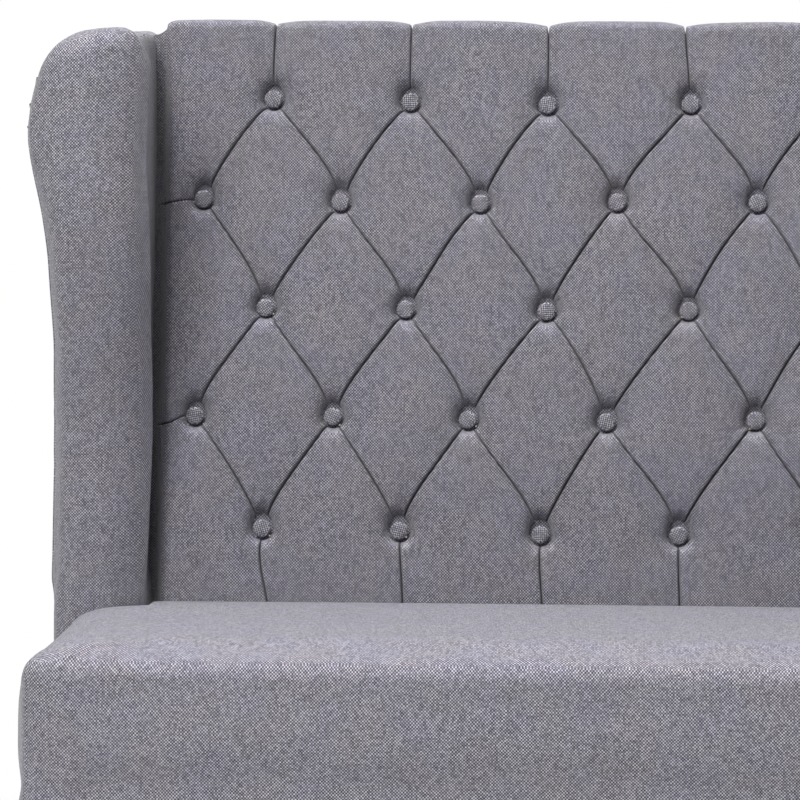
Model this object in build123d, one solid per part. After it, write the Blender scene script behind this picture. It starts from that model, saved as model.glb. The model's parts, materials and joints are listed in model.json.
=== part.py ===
from build123d import *
import math
import os

os.makedirs("parts", exist_ok=True)

# High back settee with a diamond buttoned back and padded wings. Millimetres, Z up.
# The front faces -Y and the left end, seen from the front, is at -X.
# Depths are drawn from the front of the seat (y = 0) and centred when the parts are written.

# Seat box
seat_width = 1172.0
seat_depth = 480.0
seat_height = 480.0
seat_box_height = 168.0
cover_thickness = 2.0
border_foam = 14.0
corner_radius = 38.0
neck_bevel = 12.0
# Levels of the padded seat from its foot to its crown: share of the height, how far the front
# has drawn in, and how far the sides have.
seat_steps = (
    (0.0, 5.0, 5.0),
    (0.18, 0.0, 0.0),
    (0.70, 0.0, 2.0),
    (0.88, 7.0, 15.0),
    (0.96, 17.0, 33.0),
    (1.0, 40.0, 62.0),
)
clearance = 0.3

# Seat frame
rail_thickness = 25.0
rail_height = 112.0
spreader_width = 40.0
spreader_drop = 30.0
block_leg = 90.0
block_height = 45.0
strap_width = 50.0
strap_thickness = 2.0
long_strap_spacing = 150.0
long_strap_pairs = 3
cross_strap_first = 100.0
cross_strap_spacing = 120.0
cross_strap_count = 3
insulator_thickness = 3.0
dust_cover_thickness = 1.0
dust_cover_lap = 20.0

# Legs
front_leg_block = 50.0
front_leg_block_height = 62.0
front_leg_block_chamfer = 2.5
front_leg_foot_radius = 12.0
front_leg_shoulder_radius = 20.5
front_leg_lip_radius = 22.5
front_leg_lip_height = 6.0
front_leg_cove_height = 10.0
front_leg_neck_length = 4.0
front_leg_neck_radius = 17.0
front_leg_bead_radius = 23.5
front_leg_bead_height = 16.0
front_leg_sides = 20
back_leg_top = 45.0
back_leg_foot = 30.0
back_leg_rake = 60.0
glide_height = 5.0
glide_radius = 11.0
bolt_radius = 4.0
bolt_sides = 12
bolt_hole_clearance = 0.2
leg_bolt_depth = 40.0
bolt_head_radius = 7.5
bolt_head_height = 5.5

# Reclined back, measured square to its own plane from the crown of the tufting
recline = 9.0
tuft_depth = 22.5
skin_thickness = 1.5
foam_thickness = 50.0
board_thickness = 6.0
post_depth = 28.0
post_width = 40.0
outside_board_thickness = 3.0
back_top = 648.0
roll_start = 606.0
roll_radius = 26.0
roll_rear_radius = 16.0
# Share of a pleat's depth by which it tightens the roll over the top edge.
roll_tightening = 0.4
scallop = 7.0
cover_tuck = 12.0
foam_tuck = 36.0
board_tuck = 40.0
back_rail_width = 40.0
lower_rail_low = -30.0
lower_rail_high = 30.0
stile_width = 40.0
stile_column = 1.75

# Diamond buttoning
first_row = 74.0
row_spacing = 122.7
top_row_spacing = 109.0
side_margin = 47.0
odd_row_buttons = 6
even_row_buttons = 7
button_radius = 11.0
button_edge = 3.5
button_dome = 5.5
button_crown_share = 0.55
button_sides = 12
twine_width = 1.6
twine_hole_clearance = 0.4
toggle_length = 22.0
toggle_width = 6.0
toggle_thickness = 4.0
# Each pillow rises from its pleats in steps: share of the tuft depth left, inset from the
# pleat, and how far the corner beside a button is cut off.
pillow_steps = ((1.0, 0.8, 11.5), (0.36, 9.0, 7.0), (0.0, 32.0, 4.0))
# Share of that inset on each kind of side: a pleat, the edge beside a wing, an open rim.
pleat = 1.0
wing_edge = 0.45
rim = 0.0

# Wings
wing_overhang = 14.0
wing_thickness = 96.5
wing_gap = 6.5
wing_reach = 88.0
wing_sweep = 96.0
wing_rise = 625.0
sweep_start = 140.0
sweep_height = 340.0
wing_corner_radius = 50.0
wing_rear_radius = 14.0
wing_panel_thickness = 18.0
wing_panel_front_inset = 24.0
wing_panel_top_inset = 58.0
# Slices of the padded wing from its inner to its outer face: share of the thickness, how
# far the front edge has drawn in, and how far the top has.
wing_slices = (
    (0.0, 32.0, 26.0),
    (0.16, 4.0, 5.0),
    (0.55, 0.0, 4.0),
    (0.84, 6.0, 30.0),
    (1.0, 28.0, 78.0),
)
sweep_steps = 10
corner_steps = 6
low_bolt_height = 30.0
bolt_spacing = 54.0

# Derived places
box_bottom = seat_height - seat_box_height
half_seat = seat_width / 2
wing_outer = half_seat + wing_overhang
wing_inner = wing_outer - wing_thickness
wing_top = seat_height + wing_rise
wing_sweep_low = seat_height + sweep_start
half_tufted = wing_inner - wing_gap
tuft_pitch = 2 * (half_tufted - side_margin) / (even_row_buttons - 1)
tuft_rows = [first_row + k * row_spacing for k in range(4)]
tuft_rows.append(tuft_rows[-1] + top_row_spacing)
frame_half = half_seat - cover_thickness - border_foam
frame_front = cover_thickness + border_foam
rail_inside = frame_half - rail_thickness
rail_top = box_bottom + rail_height
side_rail_top = rail_top + strap_thickness
webbing_top = rail_top + 2 * strap_thickness
insulator_top = webbing_top + insulator_thickness
lean = math.radians(recline)
foam_front = tuft_depth + skin_thickness
board_front = foam_front + foam_thickness
board_rear = board_front + board_thickness
post_rear = board_rear + post_depth
post_outside = rail_inside
post_inside = post_outside - post_width
seat_rear = seat_depth - cover_tuck * math.sin(lean) - clearance
wing_front = seat_depth - wing_reach
back_rail_rear = seat_depth + board_rear / math.cos(lean) - seat_box_height * math.tan(lean)
back_rail_front = back_rail_rear - rail_thickness
leg_inset = block_leg / 3
front_leg_centre = (rail_inside - leg_inset, frame_front + rail_thickness + leg_inset)
back_leg_centre = (rail_inside - leg_inset, back_rail_front - leg_inset)
frame_bolt_heights = (box_bottom + low_bolt_height, box_bottom + low_bolt_height + bolt_spacing)


def block(x0, x1, y0, y1, z0, z1):
    """Box between two corners."""
    centre = Pos((x0 + x1) / 2, (y0 + y1) / 2, (z0 + z1) / 2)
    return (centre * Box(x1 - x0, y1 - y0, z1 - z0)).solid()


def mirrored(shape):
    """The same piece on the other side of the settee."""
    return shape.mirror(Plane.YZ)


def reclined(shape):
    """Moves a piece drawn upright, with its crown at y = 0 and the seat line at z = 0, to its rake."""
    return Pos(0, seat_depth, seat_height) * Rot(X=-recline) * shape


def raked_y(depth, height):
    """Depth from the front of the seat of a reclined plane, at a height above the floor."""
    return seat_depth + depth / math.cos(lean) + (height - seat_height) * math.tan(lean)


def prism_x(points, x0, x1):
    """Outline of (y, z) points, drawn out along X."""
    outline = Wire.make_polygon([(x0, y, z) for y, z in points], close=True)
    return Solid.extrude(Face(outline), Vector(x1 - x0, 0, 0))


def polygon_face(points):
    return Face(Wire.make_polygon(points, close=True))


def stacked(levels):
    """Solid through polygons with matching parallel sides, each above the last."""
    faces = [polygon_face(levels[0]), polygon_face(levels[-1])]
    for low, high in zip(levels, levels[1:]):
        for k in range(len(low)):
            faces.append(polygon_face([low[k - 1], low[k], high[k], high[k - 1]]))
    return Solid(Shell(faces))


def turned(profile, sides):
    """Turned piece on the Z axis through (radius, height) rings, drawn with flat sides."""
    turns = [2 * math.pi * k / sides for k in range(sides)]
    return stacked([[(r * math.cos(turn), r * math.sin(turn), z) for turn in turns] for r, z in profile])


def bar(start, direction, radius, length):
    """Slim round bar from a point, along a direction."""
    upright = turned([(radius, 0), (radius, length)], bolt_sides)
    return Plane(start, z_dir=direction) * upright


def bolt(place, direction, length):
    """Six sided head seated at place, with its shank running along direction."""
    seat = Plane(place, z_dir=direction)
    head = turned([(bolt_head_radius, -bolt_head_height), (bolt_head_radius, 0)], 6)
    shank = turned([(bolt_radius, -clearance), (bolt_radius, length)], bolt_sides)
    return seat * (head + shank).solid()


def frame_bolt_holes(x0, x1):
    """Bores for the bolts that hold the wing panel, the side rail and the post together."""
    radius = bolt_radius + bolt_hole_clearance
    starts = [(x0 - 1, frame_bolt_place(height), height) for height in frame_bolt_heights]
    return [bar(start, (1, 0, 0), radius, x1 - x0 + 2) for start in starts]


def cut_below(shape, height):
    """Saws a reclined piece off level."""
    reach = 2 * wing_outer
    return (shape - block(-reach, reach, -reach, reach, height - reach, height)).solid()


# Seat frame


def make_front_rail():
    return block(-frame_half, frame_half, frame_front, frame_front + rail_thickness, box_bottom, rail_top)


def make_back_rail():
    """Bevelled behind, so that the posts lie flat against it."""
    section = (
        (back_rail_front, box_bottom),
        (raked_y(board_rear, box_bottom), box_bottom),
        (raked_y(board_rear, rail_top), rail_top),
        (back_rail_front, rail_top),
    )
    return prism_x(section, -rail_inside, rail_inside)


def frame_bolt_place(height):
    return raked_y(board_rear + post_depth / 2, height)


def make_side_rail():
    side = (
        (frame_front + rail_thickness, box_bottom),
        (raked_y(post_rear, box_bottom), box_bottom),
        (raked_y(post_rear, side_rail_top), side_rail_top),
        (frame_front + rail_thickness, side_rail_top),
    )
    rail = prism_x(side, rail_inside, frame_half)
    return (rail - frame_bolt_holes(rail_inside, frame_half)).solid()


def make_spreader():
    half = spreader_width / 2
    front = frame_front + rail_thickness
    return block(-half, half, front, back_rail_front, box_bottom + spreader_drop, rail_top - spreader_drop)


def make_corner_block(y_corner, inward):
    """Three sided glue block in a corner of the frame, bored for the leg bolt."""
    outline = [
        (rail_inside, y_corner, box_bottom),
        (rail_inside - block_leg, y_corner, box_bottom),
        (rail_inside, y_corner + inward * block_leg, box_bottom),
    ]
    solid = Solid.extrude(polygon_face(outline), Vector(0, 0, block_height))
    start = (rail_inside - leg_inset, y_corner + inward * leg_inset, box_bottom - 1)
    hole = bar(start, (0, 0, 1), bolt_radius + bolt_hole_clearance, block_height + 2)
    return (solid - hole).solid()


def make_corner_blocks():
    front = make_corner_block(frame_front + rail_thickness, 1)
    rear = make_corner_block(back_rail_front, -1)
    return [front, rear, mirrored(front), mirrored(rear)]


def make_long_webbing():
    straps = []
    for k in range(-long_strap_pairs, long_strap_pairs + 1):
        x = k * long_strap_spacing
        rear = raked_y(board_rear, rail_top) - clearance
        strap = block(x - strap_width / 2, x + strap_width / 2, frame_front, rear, rail_top, side_rail_top)
        straps.append(strap)
    return straps


def make_cross_webbing():
    straps = []
    for k in range(cross_strap_count):
        y = cross_strap_first + k * cross_strap_spacing
        half = strap_width / 2
        straps.append(block(-frame_half, frame_half, y - half, y + half, side_rail_top, webbing_top))
    return straps


def make_insulator():
    half = wing_inner - 2 * cover_thickness
    front = frame_front + clearance
    return block(-half, half, front, seat_rear - 2 * cover_thickness, webbing_top, insulator_top)


# Legs


def leg_bolt_hole(centre):
    start = (centre[0], centre[1], box_bottom - leg_bolt_depth)
    return bar(start, (0, 0, 1), bolt_radius + bolt_hole_clearance, leg_bolt_depth + 1)


def make_front_leg():
    """Turned taper with a lip, a cove and a bead under a square block."""
    block_bottom = box_bottom - front_leg_block_height
    bead_high = block_bottom - front_leg_neck_length
    bead_low = bead_high - front_leg_bead_height
    bead_eighth = front_leg_bead_height / 8
    bead_shoulder = (front_leg_neck_radius + 2 * front_leg_bead_radius) / 3
    cove = bead_low - front_leg_neck_length
    lip = cove - front_leg_cove_height
    shoulder = lip - front_leg_lip_height
    profile = (
        (front_leg_foot_radius, glide_height),
        (front_leg_shoulder_radius, shoulder),
        (front_leg_lip_radius, lip),
        (front_leg_neck_radius, cove),
        (front_leg_neck_radius, bead_low),
        (bead_shoulder, bead_low + bead_eighth),
        (front_leg_bead_radius, bead_low + 4 * bead_eighth),
        (bead_shoulder, bead_high - bead_eighth),
        (front_leg_neck_radius, bead_high),
        (front_leg_neck_radius, block_bottom + 1),
    )
    half = front_leg_block / 2
    square = block(-half, half, -half, half, block_bottom, box_bottom)
    square = chamfer(square.edges().filter_by(Axis.Z), front_leg_block_chamfer)
    leg = turned(profile, front_leg_sides) + square
    leg = Pos(front_leg_centre[0], front_leg_centre[1], 0) * leg
    return (leg - leg_bolt_hole(front_leg_centre)).solid()


def square_wire(x, y, z, side):
    half = side / 2
    corners = [(x - half, y - half, z), (x + half, y - half, z), (x + half, y + half, z), (x - half, y + half, z)]
    return Wire.make_polygon(corners, close=True)


def make_back_leg():
    """Square taper that rakes backwards, under a short upright block."""
    x, y = back_leg_centre
    block_bottom = box_bottom - leg_bolt_depth - glide_height
    taper = Solid.make_loft(
        [
            square_wire(x, y + back_leg_rake, glide_height, back_leg_foot),
            square_wire(x, y, block_bottom, back_leg_top),
        ],
        ruled=True,
    )
    half = back_leg_top / 2
    head = block(x - half, x + half, y - half, y + half, block_bottom, box_bottom)
    return ((taper + head) - leg_bolt_hole(back_leg_centre)).solid()


def leg_places():
    return (front_leg_centre, back_leg_centre)


def make_leg_bolts():
    """From inside the frame, down through each glue block into its leg."""
    length = block_height + leg_bolt_depth
    bolts = [bolt((x, y, box_bottom + block_height), (0, 0, -1), length) for x, y in leg_places()]
    return bolts + [mirrored(one) for one in bolts]


def make_glides():
    glide = turned([(glide_radius, 0), (glide_radius, glide_height)], front_leg_sides)
    front = Pos(front_leg_centre[0], front_leg_centre[1], 0) * glide
    rear = Pos(back_leg_centre[0], back_leg_centre[1] + back_leg_rake, 0) * glide
    return [front, rear, mirrored(front), mirrored(rear)]


# Back frame


def make_post():
    low = -2 * seat_box_height
    post = reclined(block(post_inside, post_outside, board_rear, post_rear, low, roll_start))
    post = cut_below(post, box_bottom)
    return (post - frame_bolt_holes(post_inside, post_outside)).solid()


def make_top_rail():
    low = roll_start - back_rail_width
    return reclined(block(-post_inside, post_inside, board_rear, post_rear, low, roll_start))


def make_lower_rail():
    return reclined(block(-post_inside, post_inside, board_rear, post_rear, lower_rail_low, lower_rail_high))


def make_stile():
    """Stands between two columns of buttons, clear of their twines."""
    x = stile_column * tuft_pitch
    top = roll_start - back_rail_width
    half = stile_width / 2
    return reclined(block(x - half, x + half, board_rear, post_rear, lower_rail_high, top))


def button_places():
    """(x, z) of every button on the upright back."""
    places = []
    for row, height in enumerate(tuft_rows):
        count = even_row_buttons if row % 2 else odd_row_buttons
        for k in range(count):
            places.append(((k - (count - 1) / 2) * tuft_pitch, height))
    return places


def twine_holes(y0, y1):
    half = twine_width / 2 + twine_hole_clearance
    return [block(x - half, x + half, y0, y1, z - half, z + half) for x, z in button_places()]


def make_tufting_board():
    board = block(-post_outside, post_outside, board_front, board_rear, -board_tuck, roll_start)
    return reclined((board - twine_holes(board_front - 1, board_rear + 1)).solid())


# Diamond buttoned cover


def line_through(a, b, inset):
    """Line from a to b, moved to its left by inset, as a point and a direction."""
    dx, dz = b[0] - a[0], b[1] - a[1]
    length = math.hypot(dx, dz)
    dx, dz = dx / length, dz / length
    return (a[0] - dz * inset, a[1] + dx * inset), (dx, dz)


def meet(first, second):
    """Point where two such lines cross."""
    (px, pz), (ux, uz) = first
    (qx, qz), (vx, vz) = second
    t = ((qx - px) * vz - (qz - pz) * vx) / (ux * vz - uz * vx)
    return px + ux * t, pz + uz * t


def corner_cut(before, corner, after, inset, extra):
    """Line that cuts the corner of a cell beside its button."""
    (_, u), (_, v) = line_through(before, corner, 0), line_through(corner, after, 0)
    nx, nz = -u[1] - v[1], u[0] + v[0]
    length = math.hypot(nx, nz)
    nx, nz = nx / length, nz / length
    half_angle_sine = u[0] * nz - u[1] * nx
    reach = inset / half_angle_sine + extra
    return (corner[0] + nx * reach, corner[1] + nz * reach), (nz, -nx)


def pillow_outline(corners, y, inset, extra):
    """One level of a cell. A corner is (x, z, has a button, kind of the side that follows it)."""
    lines = []
    count = len(corners)
    for k in range(count):
        a, b, c = corners[k], corners[(k + 1) % count], corners[(k + 2) % count]
        lines.append(line_through(a, b, inset * a[3]))
        if b[2]:
            lines.append(corner_cut(a, b, c, inset, extra))
    points = [meet(lines[k - 1], lines[k]) for k in range(len(lines))]
    return [(x, y, z) for x, z in points]


def pillow(corners):
    """Padded cell, rising from its pleats to its crown."""
    levels = [pillow_outline(corners, foam_front - skin_thickness / 2, *pillow_steps[0][1:])]
    for share, inset, extra in pillow_steps:
        levels.append(pillow_outline(corners, tuft_depth * share, inset, extra))
    return stacked(levels)


def tuft_cells():
    """Corners of every cell, anticlockwise as seen from the front."""
    rows = tuft_rows
    top = roll_start + 2 * clearance
    low = -cover_tuck
    cells = []
    for row in range(1, len(rows) - 1):
        count = even_row_buttons if row % 2 else odd_row_buttons
        for k in range(count - 1):
            x = (k - (count - 2) / 2) * tuft_pitch
            left, right = x - tuft_pitch / 2, x + tuft_pitch / 2
            ring_of = ((x, rows[row - 1]), (right, rows[row]), (x, rows[row + 1]), (left, rows[row]))
            cells.append([(px, pz, True, pleat) for px, pz in ring_of])
    for k in range(odd_row_buttons - 1):
        x = (k - (odd_row_buttons - 2) / 2) * tuft_pitch
        left, right = x - tuft_pitch / 2, x + tuft_pitch / 2
        upper = [
            (x, rows[-2], True, pleat),
            (right, rows[-1], True, pleat),
            (right, top, False, rim),
            (left, top, False, pleat),
            (left, rows[-1], True, pleat),
        ]
        lower = [
            (left, low, False, rim),
            (right, low, False, pleat),
            (right, rows[0], True, pleat),
            (x, rows[1], True, pleat),
            (left, rows[0], True, pleat),
        ]
        cells += [upper, lower]
    right_cells = side_cells(low, top)
    return cells + right_cells + [flipped(cell) for cell in right_cells]


def side_cells(low, top):
    """Cells between the last buttons and the right wing."""
    rows = tuft_rows
    near = (odd_row_buttons - 1) / 2 * tuft_pitch
    far = (even_row_buttons - 1) / 2 * tuft_pitch
    edge = half_tufted
    upper = [
        (far, rows[-2], True, pleat),
        (edge, rows[-2], False, wing_edge),
        (edge, top, False, rim),
        (near, top, False, pleat),
        (near, rows[-1], True, pleat),
    ]
    middle = [
        (far, rows[1], True, pleat),
        (edge, rows[1], False, wing_edge),
        (edge, rows[-2], False, pleat),
        (far, rows[-2], True, pleat),
        (near, rows[2], True, pleat),
    ]
    lower = [
        (near, low, False, rim),
        (edge, low, False, wing_edge),
        (edge, rows[1], False, pleat),
        (far, rows[1], True, pleat),
        (near, rows[0], True, pleat),
    ]
    return [upper, middle, lower]


def flipped(cell):
    """The mirror of a cell, still anticlockwise: each side's kind moves to its other end."""
    count = len(cell)
    turned = []
    for k in range(count):
        here = cell[-k % count]
        before = cell[(-k - 1) % count]
        turned.append((-here[0], here[1], here[2], before[3]))
    return turned


def roll_outline(x, front, top, rear, low):
    """Section of the rolled top edge, square to X."""
    radius = roll_radius - roll_tightening * front
    behind = roll_rear_radius
    bend = radius * (1 - math.sqrt(0.5))
    bend_behind = behind * (1 - math.sqrt(0.5))
    corners = [
        Edge.make_line((x, front, low), (x, front, top - radius)),
        Edge.make_three_point_arc(
            (x, front, top - radius), (x, front + bend, top - bend), (x, front + radius, top)
        ),
        Edge.make_line((x, front + radius, top), (x, rear - behind, top)),
        Edge.make_three_point_arc(
            (x, rear - behind, top), (x, rear - bend_behind, top - bend_behind), (x, rear, top - behind)
        ),
        Edge.make_line((x, rear, top - behind), (x, rear, low)),
        Edge.make_line((x, rear, low), (x, front, low)),
    ]
    return Wire(corners)


def roll_levels():
    """Depth and height of the roll at each step between a pleat and the crown."""
    return [(inset, tuft_depth * share, back_top - scallop * share) for share, inset, _ in pillow_steps]


def roll_section(x0, x1):
    """Rolled edge of one cell, from pleat to pleat."""
    low = roll_start + clearance
    near = wing_edge if x0 == -half_tufted else pleat
    far = wing_edge if x1 == half_tufted else pleat
    rising = [(x0 + inset * near, front, top) for inset, front, top in roll_levels()]
    falling = [(x1 - inset * far, front, top) for inset, front, top in reversed(roll_levels())]
    wires = [roll_outline(x, front, top, post_rear, low) for x, front, top in rising + falling]
    return Solid.make_loft(wires, ruled=True)


def roll_core(skin):
    """Foam inside the roll. A skin of 0 is the foam, and more is the cover round it."""
    low = roll_start + clearance
    front = foam_front - skin
    top = back_top - scallop - skin_thickness + skin
    wires = []
    for x in (-half_tufted, half_tufted):
        wires.append(roll_outline(x, front, top, post_rear - skin_thickness + skin, low))
    return Solid.make_loft(wires, ruled=True)


def roll_pleats():
    near = (odd_row_buttons - 1) / 2
    inner = [(k - near) * tuft_pitch for k in range(odd_row_buttons)]
    return [-half_tufted] + inner + [half_tufted]


def foam_block(gap):
    """Foam of the back, with room of a gap round it."""
    front = foam_front + clearance - gap
    slab = block(-half_tufted, half_tufted, front, board_front, -foam_tuck, roll_start + 2 * clearance)
    return slab + roll_core(gap - clearance)


def make_back_foam():
    foam = foam_block(0.0) - twine_holes(0, board_front + 1)
    return reclined(foam.solid())


def make_tufted_cover():
    """Cover and its wadding, pulled in at every button and folded along the pleats."""
    top = roll_start + 2 * clearance
    skin = block(-half_tufted, half_tufted, tuft_depth, foam_front, -foam_tuck, top)
    pieces = [roll_core(skin_thickness)]
    pieces += [pillow(cell) for cell in tuft_cells()]
    pleats = roll_pleats()
    pieces += [roll_section(pleats[k], pleats[k + 1]) for k in range(len(pleats) - 1)]
    cover = skin.fuse(*pieces)
    cover = cover - roll_core(0.0)
    cover = cover - twine_holes(tuft_depth - 1, foam_front + 1)
    return reclined(cover.solids().sort_by(SortBy.VOLUME)[-1])


def make_buttons():
    """Covered buttons, each a low dome pulled down to the foot of its well."""
    crown_radius = button_radius * button_crown_share
    profile = ((button_radius, 0), (button_radius, button_edge), (crown_radius, button_edge + button_dome))
    button = Rot(X=90) * turned(profile, button_sides)
    return [reclined(Pos(x, tuft_depth - clearance, z) * button) for x, z in button_places()]


def make_twines():
    front, rear = tuft_depth - clearance, board_rear + clearance
    half = twine_width / 2
    bars = [block(x - half, x + half, front, rear, z - half, z + half) for x, z in button_places()]
    return [reclined(bar) for bar in bars]


def make_toggles():
    """Bars that the twines are tied to behind the board."""
    toggles = []
    near = board_rear + clearance
    half, side = toggle_length / 2, toggle_width / 2
    for x, z in button_places():
        bar = block(x - side, x + side, near, near + toggle_thickness, z - half, z + half)
        toggles.append(reclined(bar))
    return toggles


# Seat upholstery


def seat_outline(height, front_inset, side_inset, shrink):
    """Plan of the seat, narrower between the wings, with its visible edges drawn in."""
    x = half_seat - side_inset - shrink
    front = front_inset + shrink
    notch = wing_front - 2 * cover_thickness - shrink
    rear = seat_rear - shrink
    neck = wing_inner - cover_thickness / 2 - shrink
    radius = corner_radius
    bend = radius * (1 - math.sqrt(0.5))
    points = [(x, notch), (neck + neck_bevel, notch), (neck, notch + 2 * neck_bevel), (neck, rear)]
    points += [(-px, py) for px, py in reversed(points)]
    edges = [
        Edge.make_line((-x + radius, front, height), (x - radius, front, height)),
        Edge.make_three_point_arc(
            (x - radius, front, height), (x - bend, front + bend, height), (x, front + radius, height)
        ),
        Edge.make_line((x, front + radius, height), (x, notch, height)),
    ]
    for a, b in zip(points[:-1], points[1:]):
        edges.append(Edge.make_line((a[0], a[1], height), (b[0], b[1], height)))
    edges.append(Edge.make_line((-x, notch, height), (-x, front + radius, height)))
    edges.append(
        Edge.make_three_point_arc(
            (-x, front + radius, height), (-x + bend, front + bend, height), (-x + radius, front, height)
        )
    )
    return Wire(edges)


def seat_envelope(shrink):
    """Crowned seat whose sides draw in at the top and at the foot."""
    wires = []
    for share, front_inset, side_inset in seat_steps:
        height = box_bottom + (seat_box_height - shrink) * share
        wires.append(seat_outline(height, front_inset, side_inset, shrink))
    return Solid.make_loft(wires, ruled=True)


def frame_room():
    """Space under the seat foam for the frame and its webbing."""
    half = frame_half + clearance
    front = frame_front - clearance
    return block(-half, half, front, 2 * seat_depth, 0, insulator_top + clearance)


def make_seat_foam():
    return (seat_envelope(cover_thickness + clearance) - frame_room()).solid()


def make_seat_cover():
    return (seat_envelope(0.0) - seat_envelope(cover_thickness) - frame_room()).solid()


# Wings


def quarter_turn(y, z, radius, start):
    """Points of a quarter circle in the (y, z) plane, turning clockwise from an angle in degrees."""
    turns = [math.radians(start - 90 * k / corner_steps) for k in range(corner_steps + 1)]
    return [(y + radius * math.cos(turn), z + radius * math.sin(turn)) for turn in turns]


def wing_outline(x, front_inset, top_inset, grow):
    """Side outline of the wing at one slice: upright nose, forward sweep, rounded top."""
    nose = wing_front + front_inset - grow
    brow = nose - wing_sweep
    top = wing_top - top_inset + grow
    rear_arc_height = top - wing_rear_radius
    rear_arc_depth = raked_y(post_rear, rear_arc_height) - wing_rear_radius
    points = [(nose, box_bottom)]
    for k in range(sweep_steps + 1):
        share = k / sweep_steps
        depth = nose - wing_sweep * (1 - math.cos(math.pi * share)) / 2
        points.append((depth, wing_sweep_low + sweep_height * share))
    points += quarter_turn(brow + wing_corner_radius, top - wing_corner_radius, wing_corner_radius, 180)
    points += quarter_turn(rear_arc_depth, rear_arc_height, wing_rear_radius, 90)
    points.append((raked_y(post_rear, box_bottom), box_bottom))
    return [(x, y, z) for y, z in points]


def wing_envelope(shrink):
    """Padded wing, built up from its inner to its outer face."""
    inner, outer = wing_inner + shrink, wing_outer - shrink
    levels = []
    for share, front_inset, top_inset in wing_slices:
        x = inner + (outer - inner) * share
        levels.append(wing_outline(x, front_inset, top_inset, -shrink))
    return stacked(levels)


def wing_panel_blank(gap):
    """Sawn panel inside the wing, with room of a gap round it."""
    faces = (frame_half - gap, frame_half + wing_panel_thickness + gap)
    return stacked([wing_outline(x, wing_panel_front_inset, wing_panel_top_inset, gap) for x in faces])


def wing_frame_room():
    """Space in the wing for the side rail, the post, the batten and the tufting board."""
    reach = frame_half + clearance
    beside_rail = block(0, reach, 0, 2 * seat_depth, 0, side_rail_top + clearance)
    back = block(0, reach, board_front - clearance, 2 * post_rear, -seat_height, roll_start + 2 * clearance)
    return [beside_rail, reclined(back)]


def make_wing_panel():
    holes = frame_bolt_holes(frame_half, frame_half + wing_panel_thickness)
    return (wing_panel_blank(0.0) - holes).solid()


def make_wing_foam():
    foam = wing_envelope(cover_thickness + clearance)
    foam = foam - wing_frame_room() - wing_panel_blank(clearance)
    return foam.solids().sort_by(SortBy.VOLUME)[-1]


def make_wing_cover():
    cover = wing_envelope(0.0) - wing_envelope(cover_thickness) - wing_frame_room()
    return cover.solids().sort_by(SortBy.VOLUME)[-1]


def make_wing_batten():
    """Packs out the post to meet the wing panel."""
    batten = reclined(block(post_outside, frame_half, board_rear, post_rear, -seat_box_height, roll_start))
    return cut_below(batten, side_rail_top)


def make_frame_bolts():
    """From inside each post, out through the side rail and the wing panel."""
    length = post_width + rail_thickness + wing_panel_thickness
    bolts = []
    for height in frame_bolt_heights:
        bolts.append(bolt((post_inside, frame_bolt_place(height), height), (1, 0, 0), length))
    return bolts + [mirrored(one) for one in bolts]


# Outside back and underside


def back_plate(depth, thickness):
    """Reclined plate over the whole outside back, rounded at its top corners."""
    half = wing_outer - cover_thickness
    low = -2 * seat_box_height
    top = back_top - 2 * wing_rear_radius
    plate = block(-half, half, depth, depth + thickness, low, top)
    upper = plate.edges().filter_by(Axis.Y).sort_by(Axis.Z)[-2:]
    plate = fillet(upper, wing_slices[-1][2])
    return cut_below(reclined(plate), box_bottom)


def make_dust_cover():
    """Thin cloth under the frame, cut out round the legs."""
    half = frame_half - cover_thickness
    thickness = dust_cover_thickness
    front, rear = frame_front + thickness, back_rail_front + dust_cover_lap
    sheet = block(-half, half, front, rear, box_bottom - thickness, box_bottom)
    for side in (-1, 1):
        for centre, width in ((front_leg_centre, front_leg_block), (back_leg_centre, back_leg_top)):
            x, y = side * centre[0], centre[1]
            room = width / 2 + thickness
            sheet -= block(x - room, x + room, y - room, y + room, 0, box_bottom + 1)
    return sheet.solid()


def pair(name, shape):
    return {name + "_right": [shape], name + "_left": [mirrored(shape)]}


pieces = {
    "front_rail": [make_front_rail()],
    "back_rail": [make_back_rail()],
    **pair("side_rail", make_side_rail()),
    "centre_spreader": [make_spreader()],
    "corner_blocks": make_corner_blocks(),
    "long_webbing": make_long_webbing(),
    "cross_webbing": make_cross_webbing(),
    "seat_insulator": [make_insulator()],
    **pair("front_leg", make_front_leg()),
    **pair("back_leg", make_back_leg()),
    "leg_bolts": make_leg_bolts(),
    "leg_glides": make_glides(),
    **pair("back_post", make_post()),
    "top_rail": [make_top_rail()],
    "lower_back_rail": [make_lower_rail()],
    **pair("back_stile", make_stile()),
    "tufting_board": [make_tufting_board()],
    "back_foam": [make_back_foam()],
    "tufted_cover": [make_tufted_cover()],
    "tufting_buttons": make_buttons(),
    "button_twines": make_twines(),
    "twine_toggles": make_toggles(),
    "seat_foam": [make_seat_foam()],
    "seat_cover": [make_seat_cover()],
    **pair("wing_panel", make_wing_panel()),
    **pair("wing_batten", make_wing_batten()),
    **pair("wing_foam", make_wing_foam()),
    **pair("wing_cover", make_wing_cover()),
    "frame_bolts": make_frame_bolts(),
    "outside_back_board": [back_plate(post_rear + clearance, outside_board_thickness)],
    "outside_back_cover": [
        back_plate(post_rear + outside_board_thickness + 2 * clearance, skin_thickness)
    ],
    "dust_cover": [make_dust_cover()],
}

# The origin is the middle of the whole settee's outline on the floor.
box = Compound([solid for solids in pieces.values() for solid in solids]).bounding_box()
to_origin = Pos(0, -(box.min.Y + box.max.Y) / 2, 0)
for name, solids in pieces.items():
    placed = [to_origin * solid for solid in solids]
    shape = placed[0] if len(placed) == 1 else Compound(placed)
    export_step(shape, "parts/" + name + ".step")
print("settee", round(box.size.X, 1), round(box.size.Y, 1), round(box.size.Z, 1))
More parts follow.
